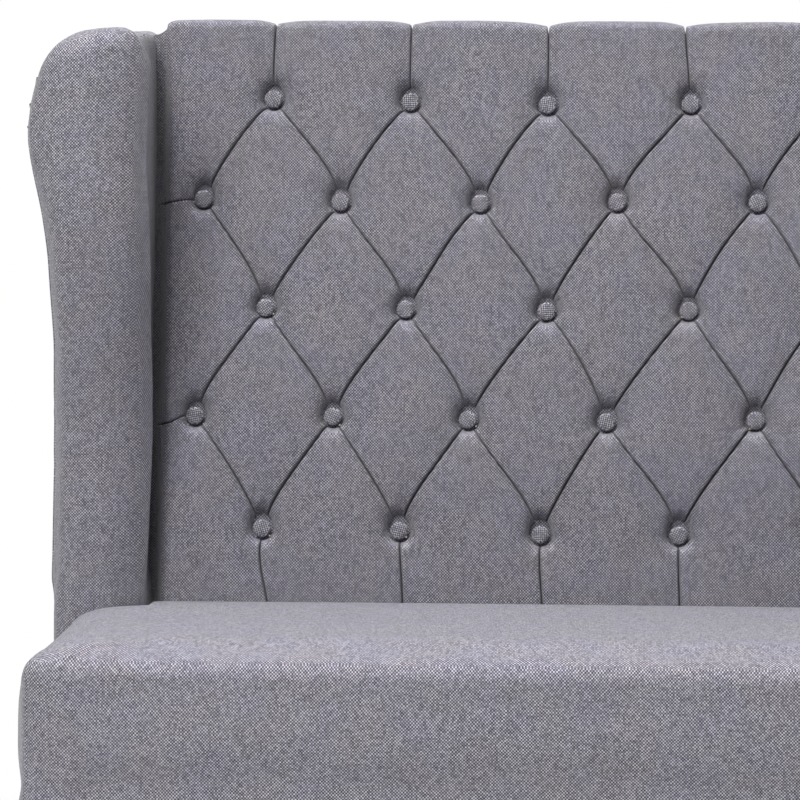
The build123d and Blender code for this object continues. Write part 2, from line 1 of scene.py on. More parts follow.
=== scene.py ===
import bmesh
import bpy
import json
import math
import random
import numpy as np
from mathutils import Matrix, Vector
from mathutils.bvhtree import BVHTree


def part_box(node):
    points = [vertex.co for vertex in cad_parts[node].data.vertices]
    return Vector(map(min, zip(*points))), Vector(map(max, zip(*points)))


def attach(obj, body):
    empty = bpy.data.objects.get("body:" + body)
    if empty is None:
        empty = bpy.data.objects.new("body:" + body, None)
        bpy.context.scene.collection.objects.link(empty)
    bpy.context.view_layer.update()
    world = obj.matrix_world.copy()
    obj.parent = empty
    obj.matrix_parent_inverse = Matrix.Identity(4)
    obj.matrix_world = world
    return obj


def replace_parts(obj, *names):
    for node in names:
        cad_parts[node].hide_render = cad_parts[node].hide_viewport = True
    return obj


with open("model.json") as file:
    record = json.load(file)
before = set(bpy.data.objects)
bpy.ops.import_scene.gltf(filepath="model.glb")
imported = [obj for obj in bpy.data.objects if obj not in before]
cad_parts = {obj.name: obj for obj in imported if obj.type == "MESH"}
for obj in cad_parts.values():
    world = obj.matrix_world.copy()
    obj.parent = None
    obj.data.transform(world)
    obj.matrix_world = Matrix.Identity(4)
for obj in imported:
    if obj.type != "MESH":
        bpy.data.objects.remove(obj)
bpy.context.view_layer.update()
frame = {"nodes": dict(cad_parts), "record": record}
print("frame loaded:", len(frame["nodes"]), "nodes")

# High back settee with a diamond buttoned back. Metres, Z up, the front faces -Y.

seatLow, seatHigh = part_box("seat_cover")
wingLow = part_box("wing_cover_right")[0]
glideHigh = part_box("leg_glides")[1].z
hands = {-1: "left", 1: "right"}

random.seed(11)
dice = np.random.default_rng(11)


def smooth(low, high, value):
    share = np.clip((value - low) / (high - low), 0.0, 1.0)
    return share * share * (3.0 - 2.0 * share)


def feed(tree, socket, value):
    # a value goes in as it is, an output gets linked
    if isinstance(value, bpy.types.NodeSocket):
        tree.links.new(value, socket)
    else:
        socket.default_value = value


def addNode(tree, kind, inputs=None, **settings):
    # a shader node with its settings made and its inputs fed, by number or by name
    node = tree.nodes.new("ShaderNode" + kind)
    for key, value in settings.items():
        setattr(node, key, value)
    for key, value in (inputs or {}).items():
        feed(tree, node.inputs[key], value)
    return node


def newMaterial(name):
    # an empty material, its tree, and the place on the piece that its pattern follows
    material = bpy.data.materials.new(name)
    material.use_nodes = True
    tree = material.node_tree
    tree.nodes.clear()
    return material, tree, addNode(tree, "TexCoord").outputs["Object"]


def mathNode(tree, operation, *values, clamp=False):
    return addNode(tree, "Math", dict(enumerate(values)), operation=operation, use_clamp=clamp).outputs[0]


def vectorOf(tree, x, y, z):
    return addNode(tree, "CombineXYZ", {0: x, 1: y, 2: z}).outputs[0]


def splitOf(tree, vector):
    return addNode(tree, "SeparateXYZ", {0: vector}).outputs


def scaled(tree, vector, amounts):
    return addNode(tree, "VectorMath", {0: vector, 1: amounts}, operation="MULTIPLY").outputs[0]


def noiseOf(tree, vector, scale, detail=2.0, roughness=0.5):
    inputs = {"Vector": vector, "Scale": scale, "Detail": detail, "Roughness": roughness}
    return addNode(tree, "TexNoise", inputs).outputs["Fac"]


def cellsOf(tree, vector, scale):
    return addNode(tree, "TexVoronoi", {"Vector": vector, "Scale": scale}).outputs["Distance"]


def rampOf(tree, value, stops):
    node = addNode(tree, "ValToRGB", {0: value})
    ramp = node.color_ramp
    while len(ramp.elements) < len(stops):
        ramp.elements.new(0.5)
    for element, (place, colour) in zip(ramp.elements, stops):
        element.position = place
        element.color = (*colour, 1.0)
    return node.outputs[0]


def mixNumber(tree, share, first, second):
    return addNode(tree, "Mix", {0: share, 2: first, 3: second}, data_type="FLOAT").outputs[0]


def multiplied(tree, share, first, second):
    inputs = {0: share, 6: first, 7: second}
    return addNode(tree, "Mix", inputs, data_type="RGBA", blend_type="MULTIPLY").outputs[2]


def shaderWith(tree, colour, roughness, height, bump, distance, **constants):
    # the relief's height is in units of the distance, and every constant is set on its own socket
    lift = addNode(tree, "Bump", {"Strength": bump, "Distance": distance, "Height": height})
    inputs = {"Base Color": colour, "Roughness": roughness, "Normal": lift.outputs[0]}
    for name, value in constants.items():
        inputs[name.replace("_", " ")] = value
    shader = addNode(tree, "BsdfPrincipled", inputs)
    addNode(tree, "OutputMaterial", {"Surface": shader.outputs[0]})


weave = dict(
    pitch=0.00160,          # distance between neighbouring threads
    gap=(0.012, 0.0115, 0.016),
    thread=(0.148, 0.145, 0.176),
    fibre=(0.53, 0.52, 0.58),
    warp=0.80, weft=0.20,   # how light each set of threads is
    slub=0.08, slubLength=0.16,
    fleck=0.32,             # how much the crossings differ
    # painted shade: threads are painted darker toward their edges, where they round down between their
    # neighbours
    threadEdgeShade=0.24,               # how much darker a thread is at its edges
    wander=0.0006, wanderScale=38.0,        # how far threads stray from straight
    cloud=0.035, cloudScale=14.0,           # broad lighter and darker patches
    warm=(1.0, 0.985, 0.95), cool=(0.965, 0.97, 1.0), tintScale=21.0,
    # painted light: top faces are painted paler, for the light that falls on them
    paintedTopLight=(2.05, 2.03, 2.08, 1.0),            # how much paler the cloth is where it faces up
    bump=0.4, relief=0.0004, roughness=0.92,
    upFrom=0.78, sidewaysFrom=0.80,         # how squarely a face looks up or sideways to count so
)


def weaveGroup():
    # one flat patch of cloth: light warp over darker weft, with slubs and uneven crossings
    group = bpy.data.node_groups.new("clothWeave", "ShaderNodeTree")
    group.interface.new_socket("Flat", in_out="INPUT", socket_type="NodeSocketVector")
    group.interface.new_socket("Shade", in_out="OUTPUT", socket_type="NodeSocketFloat")
    group.interface.new_socket("Height", in_out="OUTPUT", socket_type="NodeSocketFloat")
    source = group.nodes.new("NodeGroupInput").outputs[0]
    result = group.nodes.new("NodeGroupOutput")

    drift = addNode(group, "TexNoise", {"Vector": source, "Scale": weave["wanderScale"]}).outputs["Color"]
    centred = addNode(group, "VectorMath", {0: drift, 1: (0.5, 0.5, 0.5)}, operation="SUBTRACT").outputs[0]
    inputs = {0: centred, 1: (weave["wander"] * 4,) * 3, 2: source}
    strayed = addNode(group, "VectorMath", inputs, operation="MULTIPLY_ADD").outputs[0]
    across, along = splitOf(group, scaled(group, strayed, (1 / weave["pitch"],) * 3))[:2]
    column = mathNode(group, "FLOOR", across)
    row = mathNode(group, "FLOOR", along)
    isWarp = mathNode(group, "FLOORED_MODULO", mathNode(group, "ADD", column, row), 2.0)

    def threadTone(tone, number, run, seed):
        # a thread keeps its own shade and drifts a little along its length
        place = vectorOf(group, mathNode(group, "MULTIPLY", number, 7.31),
                         mathNode(group, "MULTIPLY", run, weave["slubLength"]), seed)
        drifted = mathNode(group, "SUBTRACT", noiseOf(group, place, 1.0, 1.0), 0.5)
        return mathNode(group, "MULTIPLY_ADD", drifted, weave["slub"] * 4, tone)

    def bowOf(number):
        part = mathNode(group, "FRACT", number)
        return mathNode(group, "SINE", mathNode(group, "MULTIPLY", part, math.pi))

    inputs = {"Vector": vectorOf(group, column, row, 0.0)}
    fleck = addNode(group, "TexWhiteNoise", inputs, noise_dimensions="2D").outputs[0]
    tone = mixNumber(group, isWarp, threadTone(weave["weft"], row, across, 9.1),
                     threadTone(weave["warp"], column, along, 3.7))
    bow = mathNode(group, "MULTIPLY", bowOf(across), bowOf(along))
    uneven = mathNode(group, "MULTIPLY_ADD", mathNode(group, "SUBTRACT", fleck, 0.5), weave["fleck"], tone)
    # painted shade at each thread's edges, following how the thread rounds off
    rounded = mathNode(group, "SUBTRACT", bow, 0.6)
    feed(group, result.inputs["Shade"], mathNode(group, "MULTIPLY_ADD", rounded, weave["threadEdgeShade"], uneven))
    feed(group, result.inputs["Height"], bow)
    return group


clothWeave = weaveGroup()


def upholsteryMaterial(name):
    # the weave is laid on from three sides and the side that faces the surface wins
    material, tree, place = newMaterial(name)
    x, y, z = splitOf(tree, place)
    facing = splitOf(tree, addNode(tree, "TexCoord").outputs["Normal"])
    isUpward = mathNode(tree, "GREATER_THAN", mathNode(tree, "ABSOLUTE", facing[2]), weave["upFrom"])
    isSideways = mathNode(tree, "GREATER_THAN", mathNode(tree, "ABSOLUTE", facing[0]), weave["sidewaysFrom"])
    front, top, end = [addNode(tree, "Group", {0: vectorOf(tree, *flat, 0.0)}, node_tree=clothWeave)
                       for flat in ((x, z), (x, y), (y, z))]
    chosen = []
    for k in (0, 1):
        frontal = mixNumber(tree, isUpward, front.outputs[k], top.outputs[k])
        chosen.append(mixNumber(tree, isSideways, frontal, end.outputs[k]))
    cloud = mathNode(tree, "SUBTRACT", noiseOf(tree, place, weave["cloudScale"], 3.0), 0.5)
    shade = mathNode(tree, "MULTIPLY_ADD", cloud, weave["cloud"], chosen[0])
    colour = rampOf(tree, shade, ((0.0, weave["gap"]), (0.5, weave["thread"]), (1.0, weave["fibre"])))
    # faint warmer and cooler clouds, as in dyed linen
    clouds = noiseOf(tree, place, weave["tintScale"])
    tint = rampOf(tree, clouds, ((0.35, weave["warm"]), (0.65, weave["cool"])))
    colour = multiplied(tree, 1.0, colour, tint)
    # painted light: cloth that faces up is painted paler, standing in for the light that falls on it from
    # above
    upward = splitOf(tree, addNode(tree, "NewGeometry").outputs["Normal"])[2]
    topLightShare = mathNode(tree, "MULTIPLY_ADD", upward, 1.7, -0.7, clamp=True)
    colour = multiplied(tree, topLightShare, colour, weave["paintedTopLight"])
    shaderWith(tree, colour, weave["roughness"], chosen[1], weave["bump"], weave["relief"],
               Sheen_Weight=0.26, Sheen_Roughness=0.5, Specular_IOR_Level=0.25)
    return material


darkWood = dict(light=(0.075, 0.038, 0.021), dark=(0.018, 0.009, 0.006), grain=60.0)
rawWood = dict(light=(0.62, 0.45, 0.27), dark=(0.40, 0.26, 0.14), grain=45.0)
plyWood = dict(light=(0.70, 0.56, 0.37), dark=(0.52, 0.38, 0.23), grain=30.0)


def woodMaterial(name, wood, roughness, stretch=(1.0, 1.0, 0.07), coat=0.0):
    material, tree, place = newMaterial(name)
    bands = noiseOf(tree, scaled(tree, place, stretch), wood["grain"], 5.0, 0.6)
    pores = noiseOf(tree, scaled(tree, place, tuple(v * v for v in stretch)), wood["grain"] * 14)
    mixed = mathNode(tree, "MULTIPLY_ADD", pores, 0.35, mathNode(tree, "MULTIPLY", bands, 0.75))
    colour = rampOf(tree, mixed, ((0.35, wood["dark"]), (0.72, wood["light"])))
    worn = mathNode(tree, "MULTIPLY_ADD", noiseOf(tree, place, 18.0, 3.0), 0.2, roughness - 0.1)
    shaderWith(tree, colour, worn, mixed, 0.25, 0.0004, Coat_Weight=coat, Coat_Roughness=0.25)
    return material


def foamMaterial(name, colour):
    material, tree, place = newMaterial(name)
    cells = cellsOf(tree, place, 420.0)
    shade = rampOf(tree, cells, ((0.0, tuple(0.7 * c for c in colour)), (0.6, colour)))
    shaderWith(tree, shade, 0.95, cells, 0.6, 0.0008)
    return material


def strapMaterial(name, colour, pitch):
    # woven strap or twine, ribbed across its length
    material, tree, place = newMaterial(name)
    inputs = {"Vector": place, "Scale": 1.0 / pitch, "Distortion": 1.5}
    ribs = addNode(tree, "TexWave", inputs, bands_direction="DIAGONAL").outputs["Fac"]
    shade = rampOf(tree, ribs, ((0.0, tuple(0.5 * c for c in colour)), (1.0, colour)))
    shaderWith(tree, shade, 0.85, ribs, 0.5, 0.0006)
    return material


def feltMaterial(name, light, dark, scale):
    material, tree, place = newMaterial(name)
    fibre = noiseOf(tree, scaled(tree, place, (1.0, 0.3, 1.0)), scale, 5.0, 0.7)
    dots = cellsOf(tree, place, scale * 0.8)
    mixed = mathNode(tree, "MULTIPLY", fibre, mathNode(tree, "ADD", dots, 0.6))
    colour = rampOf(tree, mixed, ((0.25, dark), (0.75, light)))
    shaderWith(tree, colour, 0.95, mixed, 0.4, 0.0005)
    return material


def steelMaterial(name):
    material, tree, place = newMaterial(name)
    brushed = noiseOf(tree, scaled(tree, place, (1.0, 1.0, 0.1)), 900.0, 3.0)
    colour = rampOf(tree, brushed, ((0.3, (0.45, 0.44, 0.41)), (0.7, (0.66, 0.65, 0.62))))
    rough = mathNode(tree, "MULTIPLY_ADD", brushed, 0.2, 0.28)
    shaderWith(tree, colour, rough, brushed, 0.15, 0.0002, Metallic=1.0)
    return material


def plasticMaterial(name):
    material, tree, place = newMaterial(name)
    grain = noiseOf(tree, place, 1400.0, 3.0)
    scuffs = noiseOf(tree, scaled(tree, place, (1.0, 0.1, 1.0)), 160.0, 3.0)
    colour = rampOf(tree, scuffs, ((0.4, (0.022, 0.022, 0.023)), (0.75, (0.06, 0.058, 0.055))))
    shaderWith(tree, colour, 0.55, grain, 0.25, 0.0003)
    return material


nodeMaterials = {
    "upholstery_fabric": upholsteryMaterial("greyLinenWeave"),
    "foam": foamMaterial("upholsteryFoam", (0.83, 0.76, 0.52)),
    "insulator_felt": feltMaterial("insulatorFelt", (0.42, 0.37, 0.31), (0.14, 0.13, 0.12), 300.0),
    "webbing": strapMaterial("blackWebbing", (0.05, 0.05, 0.055), 0.02),
    "twine": strapMaterial("waxedTwine", (0.62, 0.56, 0.43), 0.004),
    "dust_cover_cloth": feltMaterial("blackUnderCloth", (0.028, 0.028, 0.03), (0.010, 0.010, 0.011), 420.0),
    "frame_wood": woodMaterial("rawFrameWood", rawWood, 0.75, stretch=(0.07, 1.0, 1.0)),
    "plywood": woodMaterial("rawPlywood", plyWood, 0.75, stretch=(0.2, 1.0, 0.2)),
    "dark_leg_wood": woodMaterial("darkStainedWood", darkWood, 0.38, coat=0.35),
    "fastener_steel": steelMaterial("zincPlatedSteel"),
    "glide_plastic": plasticMaterial("blackNylon"),
}
slotOf = {part["node"]: part["material_slot"] for part in frame["record"]["subparts"]}
for name, node in frame["nodes"].items():
    node.data.materials.clear()
    node.data.materials.append(nodeMaterials[slotOf[name]])
print("materials made:", len(bpy.data.materials))


def shadeSmooth(mesh, isSmooth=True):
    mesh.polygons.foreach_set("use_smooth", [isSmooth] * len(mesh.polygons))
    mesh.update()


def addObject(name, data):
    piece = bpy.data.objects.new(name, data)
    bpy.context.scene.collection.objects.link(piece)
    return piece


def meshPiece(name, points, faces, slotName="upholstery_fabric"):
    mesh = bpy.data.meshes.new(name)
    mesh.from_pydata([tuple(p) for p in points], [], [tuple(f) for f in faces])
    mesh.validate()
    shadeSmooth(mesh)
    piece = addObject(name, mesh)
    mesh.materials.append(nodeMaterials[slotName])
    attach(piece, "root")
    return piece


def gridFaces(rows, columns, closed=False, first=0):
    faces = []
    span = columns if closed else columns - 1
    for r in range(rows - 1):
        for c in range(span):
            a, b = r * columns + c, r * columns + (c + 1) % columns
            faces.append((first + a, first + b, first + b + columns, first + a + columns))
    return faces


def weld(piece, distance=1e-5):
    # joins doubled points and turns all faces outward
    mesh = bmesh.new()
    mesh.from_mesh(piece.data)
    bmesh.ops.remove_doubles(mesh, verts=mesh.verts, dist=distance)
    bmesh.ops.recalc_face_normals(mesh, faces=mesh.faces)
    mesh.to_mesh(piece.data)
    mesh.free()
    shadeSmooth(piece.data)


def loftedLoops(name, loops, slotName="upholstery_fabric", rings=6):
    # closed skin through loops of equal counts, each end closed by rings that shrink to a point
    count = len(loops[0])
    points = [np.asarray(loop, float) for loop in loops]
    for isEnd in (False, True):
        edge = points[-1] if isEnd else points[0]
        middle = edge.mean(axis=0)
        capped = [middle + (edge - middle) * (1 - k / rings) for k in range(1, rings)]
        capped.append(np.repeat(middle[None], count, axis=0))
        points = points + capped if isEnd else capped[::-1] + points
    piece = meshPiece(name, np.concatenate(points), gridFaces(len(points), count, closed=True), slotName)
    weld(piece)
    return piece


def circleAt(x, y, radius, z, count):
    turns = np.linspace(0, 2 * math.pi, count, endpoint=False)
    return np.array([(x + radius * math.cos(t), y + radius * math.sin(t), z) for t in turns])


def worldPoints(nodeName):
    node = frame["nodes"][nodeName]
    return [node.matrix_world @ vertex.co for vertex in node.data.vertices]


def pointsOf(mesh, kind="co"):
    flat = np.empty(len(mesh.vertices) * 3)
    mesh.vertices.foreach_get(kind, flat)
    return flat.reshape(-1, 3)


def movePoints(piece, points):
    piece.data.vertices.foreach_set("co", np.ascontiguousarray(points).ravel())
    piece.data.update()


def evaluated(piece):
    return piece.evaluated_get(bpy.context.evaluated_depsgraph_get())


def bake(piece):
    # the mesh becomes what the modifiers make of it
    fresh = bpy.data.meshes.new_from_object(evaluated(piece))
    piece.modifiers.clear()
    old, piece.data = piece.data, fresh
    bpy.data.meshes.remove(old)


swell = dict(pressure=4.0, frames=20, quality=4, cap=0.006, start=0.003)


def settle(piece, freedom, voxel):
    # lets the stuffing press the cover outward, no point further than the cap times its freedom
    remesh = piece.modifiers.new("remesh", "REMESH")
    remesh.mode = "VOXEL"
    remesh.voxel_size = voxel
    bake(piece)
    start = pointsOf(piece.data)
    free = freedom(start)
    movePoints(piece, start - pointsOf(piece.data, "normal") * (swell["start"] * free)[:, None])

    cloth = piece.modifiers.new("stuffing", "CLOTH")
    cloth.settings.use_pressure = True
    cloth.settings.uniform_pressure_force = swell["pressure"]
    cloth.settings.quality = swell["quality"]
    cloth.settings.effector_weights.gravity = 0.0
    cloth.point_cache.frame_start = 1
    cloth.point_cache.frame_end = swell["frames"]
    scene = bpy.context.scene
    for number in range(1, swell["frames"] + 1):
        scene.frame_set(number)
    shift = pointsOf(evaluated(piece).data) - start
    piece.modifiers.clear()
    scene.frame_set(1)
    length = np.linalg.norm(shift, axis=1)
    limit = swell["cap"] * free
    shift *= (limit * np.tanh(length / np.maximum(limit, 1e-6)) / np.maximum(length, 1e-9))[:, None]
    movePoints(piece, start + shift)
    finer = piece.modifiers.new("finer", "SUBSURF")
    finer.levels = 1
    finer.render_levels = 1
    bake(piece)
    shadeSmooth(piece.data)
    print("settled:", piece.name, len(piece.data.vertices), "points, moved up to",
          round(float(np.linalg.norm(shift, axis=1).max()) * 1000, 1), "mm")


back = dict(
    lean=math.radians(9.0), seatDepth=0.480,
    firstRow=0.074, rowStep=0.1227, topRowStep=0.109,
    evenRow=7, sideMargin=0.047, halfWidth=0.497,
    low=-0.030, tail=0.018, # how far the cover tucks down behind the seat, and its mesh below that
    bendStart=0.630,        # where the top edge starts to roll back
    topRadius=0.017, topDepth=0.108, rearRadius=0.016, rearDrop=0.030,
    softDepth=0.0052, softReach=0.016, softPower=1.25,
    lapped=0.82, fallingOff=1.12,           # share of that reach above and below a pleat
    creaseDepth=0.0185, creaseReach=0.00096, creasePower=1.6,
    faintest=0.62,          # how narrow the faintest pleat is, of the sharpest
    hollowDepth=0.0095, hollowReach=0.023, hollowPower=1.2,
    drawnAbove=0.66, drawnBelow=1.05,       # how fast a hollow ends above and below its button
    uneven=0.0010,          # broad unevenness of hand stuffing
    tuckDepth=0.0360,       # how deep the cover lies round and under a button
    tuckRim=0.0117, tuckReach=0.0030,
    edgeDepth=0.022, edgeReach=0.0045,
    rollDepth=0.0048,
    # how the cover turns into the gap beside a wing: outward, and how deep
    wallSteps=((0.001, 0.026), (0.003, 0.032), (0.006, 0.038), (0.010, 0.043), (0.016, 0.048)),
    columns=49,             # of the mesh across each pillow
    fineStep=0.0013, wideStep=0.0030, fineWithin=0.024,     # rows of the mesh beside buttons and between
)
seatLine = seatHigh.z
junction = seatLow.y + back["seatDepth"]
coverLow = back["low"] - back["tail"]
pitch = 2 * (back["halfWidth"] - back["sideMargin"]) / (back["evenRow"] - 1)
outermost = (back["evenRow"] - 1) / 2       # of the wide rows, in steps from the middle
rows = [back["firstRow"] + k * back["rowStep"] for k in range(4)]
rows.append(rows[-1] + back["topRowStep"])

# how far each button was tied off its mark, in millimetres across and up, left to right
tiedOff = {
    0: ((-9, 8), (-8, 7), (-3, 4), (-2, 5)),
    1: ((-10, 9), (-8, 9), (-9, 7), (-7, 6), (6, 9)),
    2: ((-9, 7), (-4, 6), (1, 5), (7, 7)),
    3: ((-5, 5), (-3, 2), (2, 2), (3, 4), (7, 4)),
    4: ((-4, 8), (-2, 6), (0, 3), (8, 5)),
}


def spread(count):
    # places side by side at the buttons' pitch, about the middle
    return [(k - (count - 1) / 2) * pitch for k in range(count)]


def buttonsIn(row):
    return back["evenRow"] - 1 + row % 2


def buttonSpots():
    # the marks of all buttons and how far each was tied off it, by chance where no one has measured
    marks, shifts = [], []
    for row, height in enumerate(rows):
        for k, x in enumerate(spread(buttonsIn(row))):
            marks.append((x, height))
            if k < len(tiedOff[row]):
                across, up = tiedOff[row][k]
            else:
                across, up = dice.normal(0, 2.5), 5 + dice.normal(0, 2.0)
            shifts.append((across / 1000, up / 1000))
    return np.array(marks), np.array(shifts)


marks, shifts = buttonSpots()


def hillOf(x, run, centre, reach=0.085):
    return np.exp(-((x - centre[0]) ** 2 + (run - centre[1]) ** 2) / reach**2)


hills = np.array([[hillOf(a[0], a[1], b) for b in marks] for a in marks])
hillShares = np.linalg.solve(hills, shifts)


def tiedFlat(x, run):
    # carries the cover along with the buttons, and leaves it at its outer edges
    moved = np.zeros((2,) + x.shape)
    for mark, share in zip(marks, hillShares):
        hill = hillOf(x, run, mark)
        moved[0] += share[0] * hill
        moved[1] += share[1] * hill
    held = smooth(0.0, 0.040, back["halfWidth"] - np.abs(x))
    upheld = smooth(-0.02, 0.05, run) * (1 - smooth(rows[-1] + 0.01, back["bendStart"] + 0.02, run))
    return x + moved[0] * held * smooth(-0.05, 0.05, run), run + moved[1] * held * upheld


def reclined(x, depth, height):
    # from the upright back, measured from its crown and the seat line, to its rake
    lean = back["lean"]
    y = junction + depth * math.cos(lean) + height * math.sin(lean)
    z = seatLine - depth * math.sin(lean) + height * math.cos(lean)
    return np.stack([x, y, z], axis=-1)


def topEdge():
    # lengths along the cover where the rolled top edge changes from flat to round
    quarter = math.pi / 2
    bend = back["bendStart"] + back["topRadius"] * quarter
    flat = bend + back["topDepth"] - back["topRadius"] - back["rearRadius"]
    rear = flat + back["rearRadius"] * quarter
    return bend, flat, rear, rear + back["rearDrop"]


def coverPoint(x, run, depth):
    # point of the cover at a run up from the seat line and over the rolled top edge
    bend, flat, rear = topEdge()[:3]
    big, small = back["topRadius"], back["rearRadius"]
    top = back["bendStart"] + big
    turn = np.clip((run - back["bendStart"]) / big, 0.0, math.pi / 2)
    along = np.clip(run - bend, 0.0, flat - bend)
    behind = np.clip((run - flat) / small, 0.0, math.pi / 2)
    down = np.clip(run - rear, 0.0, None)
    height = np.minimum(run, back["bendStart"])
    frontal = big - (big - depth) * np.cos(turn)
    lift = height + (big - depth) * np.sin(turn)
    rearDepth = back["topDepth"] - small + (small - depth) * np.sin(behind)
    rearLift = top - small + (small - depth) * np.cos(behind) - down
    isFront = run < bend
    isFlat = (run >= bend) & (run < flat)
    outDepth = np.where(isFront, frontal, np.where(isFlat, big + along, rearDepth))
    outLift = np.where(isFront, lift, np.where(isFlat, top - depth, rearLift))
    return reclined(x, outDepth, outLift)


foldShapes = dict(
    bow=dict(rising=-0.0050, falling=0.0062),
    spread=0.0012, sway=0.0020, fallingSway=0.0016,
    sharp=dict(level=0.6, head=0.42, foot=0.6), fallingDeep=0.92,
)


def makeFold(lower, upper, kind):
    # one pleat, from its lower to its upper end: its points, and how sharp and deep it is there
    share = np.linspace(0.0, 1.0, 41)
    slants = kind in foldShapes["bow"]
    bow = foldShapes["bow"].get(kind, 0.0) + dice.normal(0, foldShapes["spread"]) * slants
    sway = dice.normal(0, foldShapes["sway"]) * (0.6 if slants else 0.5)
    if kind == "falling":
        sway += foldShapes["fallingSway"]
    shift = bow * np.sin(math.pi * share**0.80) + sway * np.sin(2 * math.pi * share)
    x = lower[0] + (upper[0] - lower[0]) * share
    run = lower[1] + (upper[1] - lower[1]) * share
    if kind == "level":
        run = run + shift
    else:
        x = x + shift
    sharp, deep = np.ones_like(share), np.ones_like(share)
    if kind == "falling":
        sharp = 0.85 - 0.55 * smooth(0.40, 0.95, share)
        deep = deep * foldShapes["fallingDeep"]
    sharp = sharp * foldShapes["sharp"].get(kind, 1.0)
    return dict(points=np.stack([x, run], axis=1), sharp=sharp, deep=deep)


def foldAcross(fold, run):
    return np.interp(run, fold["points"][:, 1], fold["points"][:, 0])


def foldHeight(fold, x):
    order = np.argsort(fold["points"][:, 0])
    return np.interp(x, fold["points"][order, 0], fold["points"][order, 1])


def makeFolds():
    # every pleat of the back, kept by the button that it rises from and the side that it leans to
    folds = {}
    for row in range(4):
        widest = (outermost - 0.5 * (row % 2)) * pitch + 1e-6
        for x in spread(buttonsIn(row)):
            for side in (-1, 1):
                other = x + side * pitch / 2
                if abs(other) <= widest:
                    kind = "rising" if side > 0 else "falling"
                    folds[(row, round(x, 4), side)] = makeFold((x, rows[row]), (other, rows[row + 1]), kind)
    for x in spread(buttonsIn(0)):
        folds[("foot", round(x, 4))] = makeFold((x, back["low"] - 0.02), (x, rows[0]), "foot")
        folds[("head", round(x, 4))] = makeFold((x, rows[-1]), (x, topEdge()[3]), "head")
    for row in (1, 3):
        for side in (-1, 1):
            edge = (side * back["halfWidth"], rows[row])
            mark = (side * outermost * pitch, rows[row])
            ends = (mark, edge) if side > 0 else (edge, mark)
            folds[("level", row, side)] = makeFold(*ends, "level")
    return folds


folds = makeFolds()
puckering = dict(
    depth=0.0034, width=0.0017, above=3, around=4, bend=0.35,
    longest=(0.022, 0.034), others=(0.010, 0.026),
)


def makePuckers():
    # short creases that run out from the buttons, most of them upward
    puckers = []
    share = np.linspace(0, 1, 12)
    for x, run in marks:
        angles = [*dice.normal(90, 26, puckering["above"]), *dice.uniform(-40, 220, puckering["around"])]
        for k, angle in enumerate(angles):
            reach = dice.uniform(*puckering["others" if k else "longest"])
            bent = math.radians(angle) + dice.normal(0, puckering["bend"]) * share
            radius = back["tuckRim"] * 0.85 + reach * share
            points = np.stack([x + radius * np.cos(bent), run + radius * np.sin(bent)], axis=1)
            sharp = (1 - share) ** 0.8 * dice.uniform(0.3, 1.0)
            puckers.append(dict(points=points, sharp=sharp, deep=sharp * 0))
    return puckers


puckers = makePuckers()


def nearness(lines, x, run):
    # for the points near each line: how far away it is and on which side, how sharp and how deep
    for line in lines:
        a, b = line["points"][:-1], line["points"][1:]
        low = line["points"].min(axis=0) - 0.09
        high = line["points"].max(axis=0) + 0.09
        near = np.nonzero((x > low[0]) & (x < high[0]) & (run > low[1]) & (run < high[1]))[0]
        px, pr = x[near, None], run[near, None]
        dx, dr = (b - a)[:, 0], (b - a)[:, 1]
        share = np.clip(((px - a[:, 0]) * dx + (pr - a[:, 1]) * dr) / (dx * dx + dr * dr), 0.0, 1.0)
        offX, offR = px - a[:, 0] - share * dx, pr - a[:, 1] - share * dr
        away = np.hypot(offX, offR)
        nearest = away.argmin(axis=1)
        pick = np.arange(len(near))
        place = nearest + share[pick, nearest]
        steps = np.arange(len(line["points"]))
        yield (near, away[pick, nearest], offR[pick, nearest] > 0, np.interp(place, steps, line["sharp"]),
               np.interp(place, steps, line["deep"]))


def nearTop(run):
    # toward its top edge the cover runs out to the wings instead of turning in
    return smooth(back["bendStart"] - 0.09, back["bendStart"] - 0.01, run)


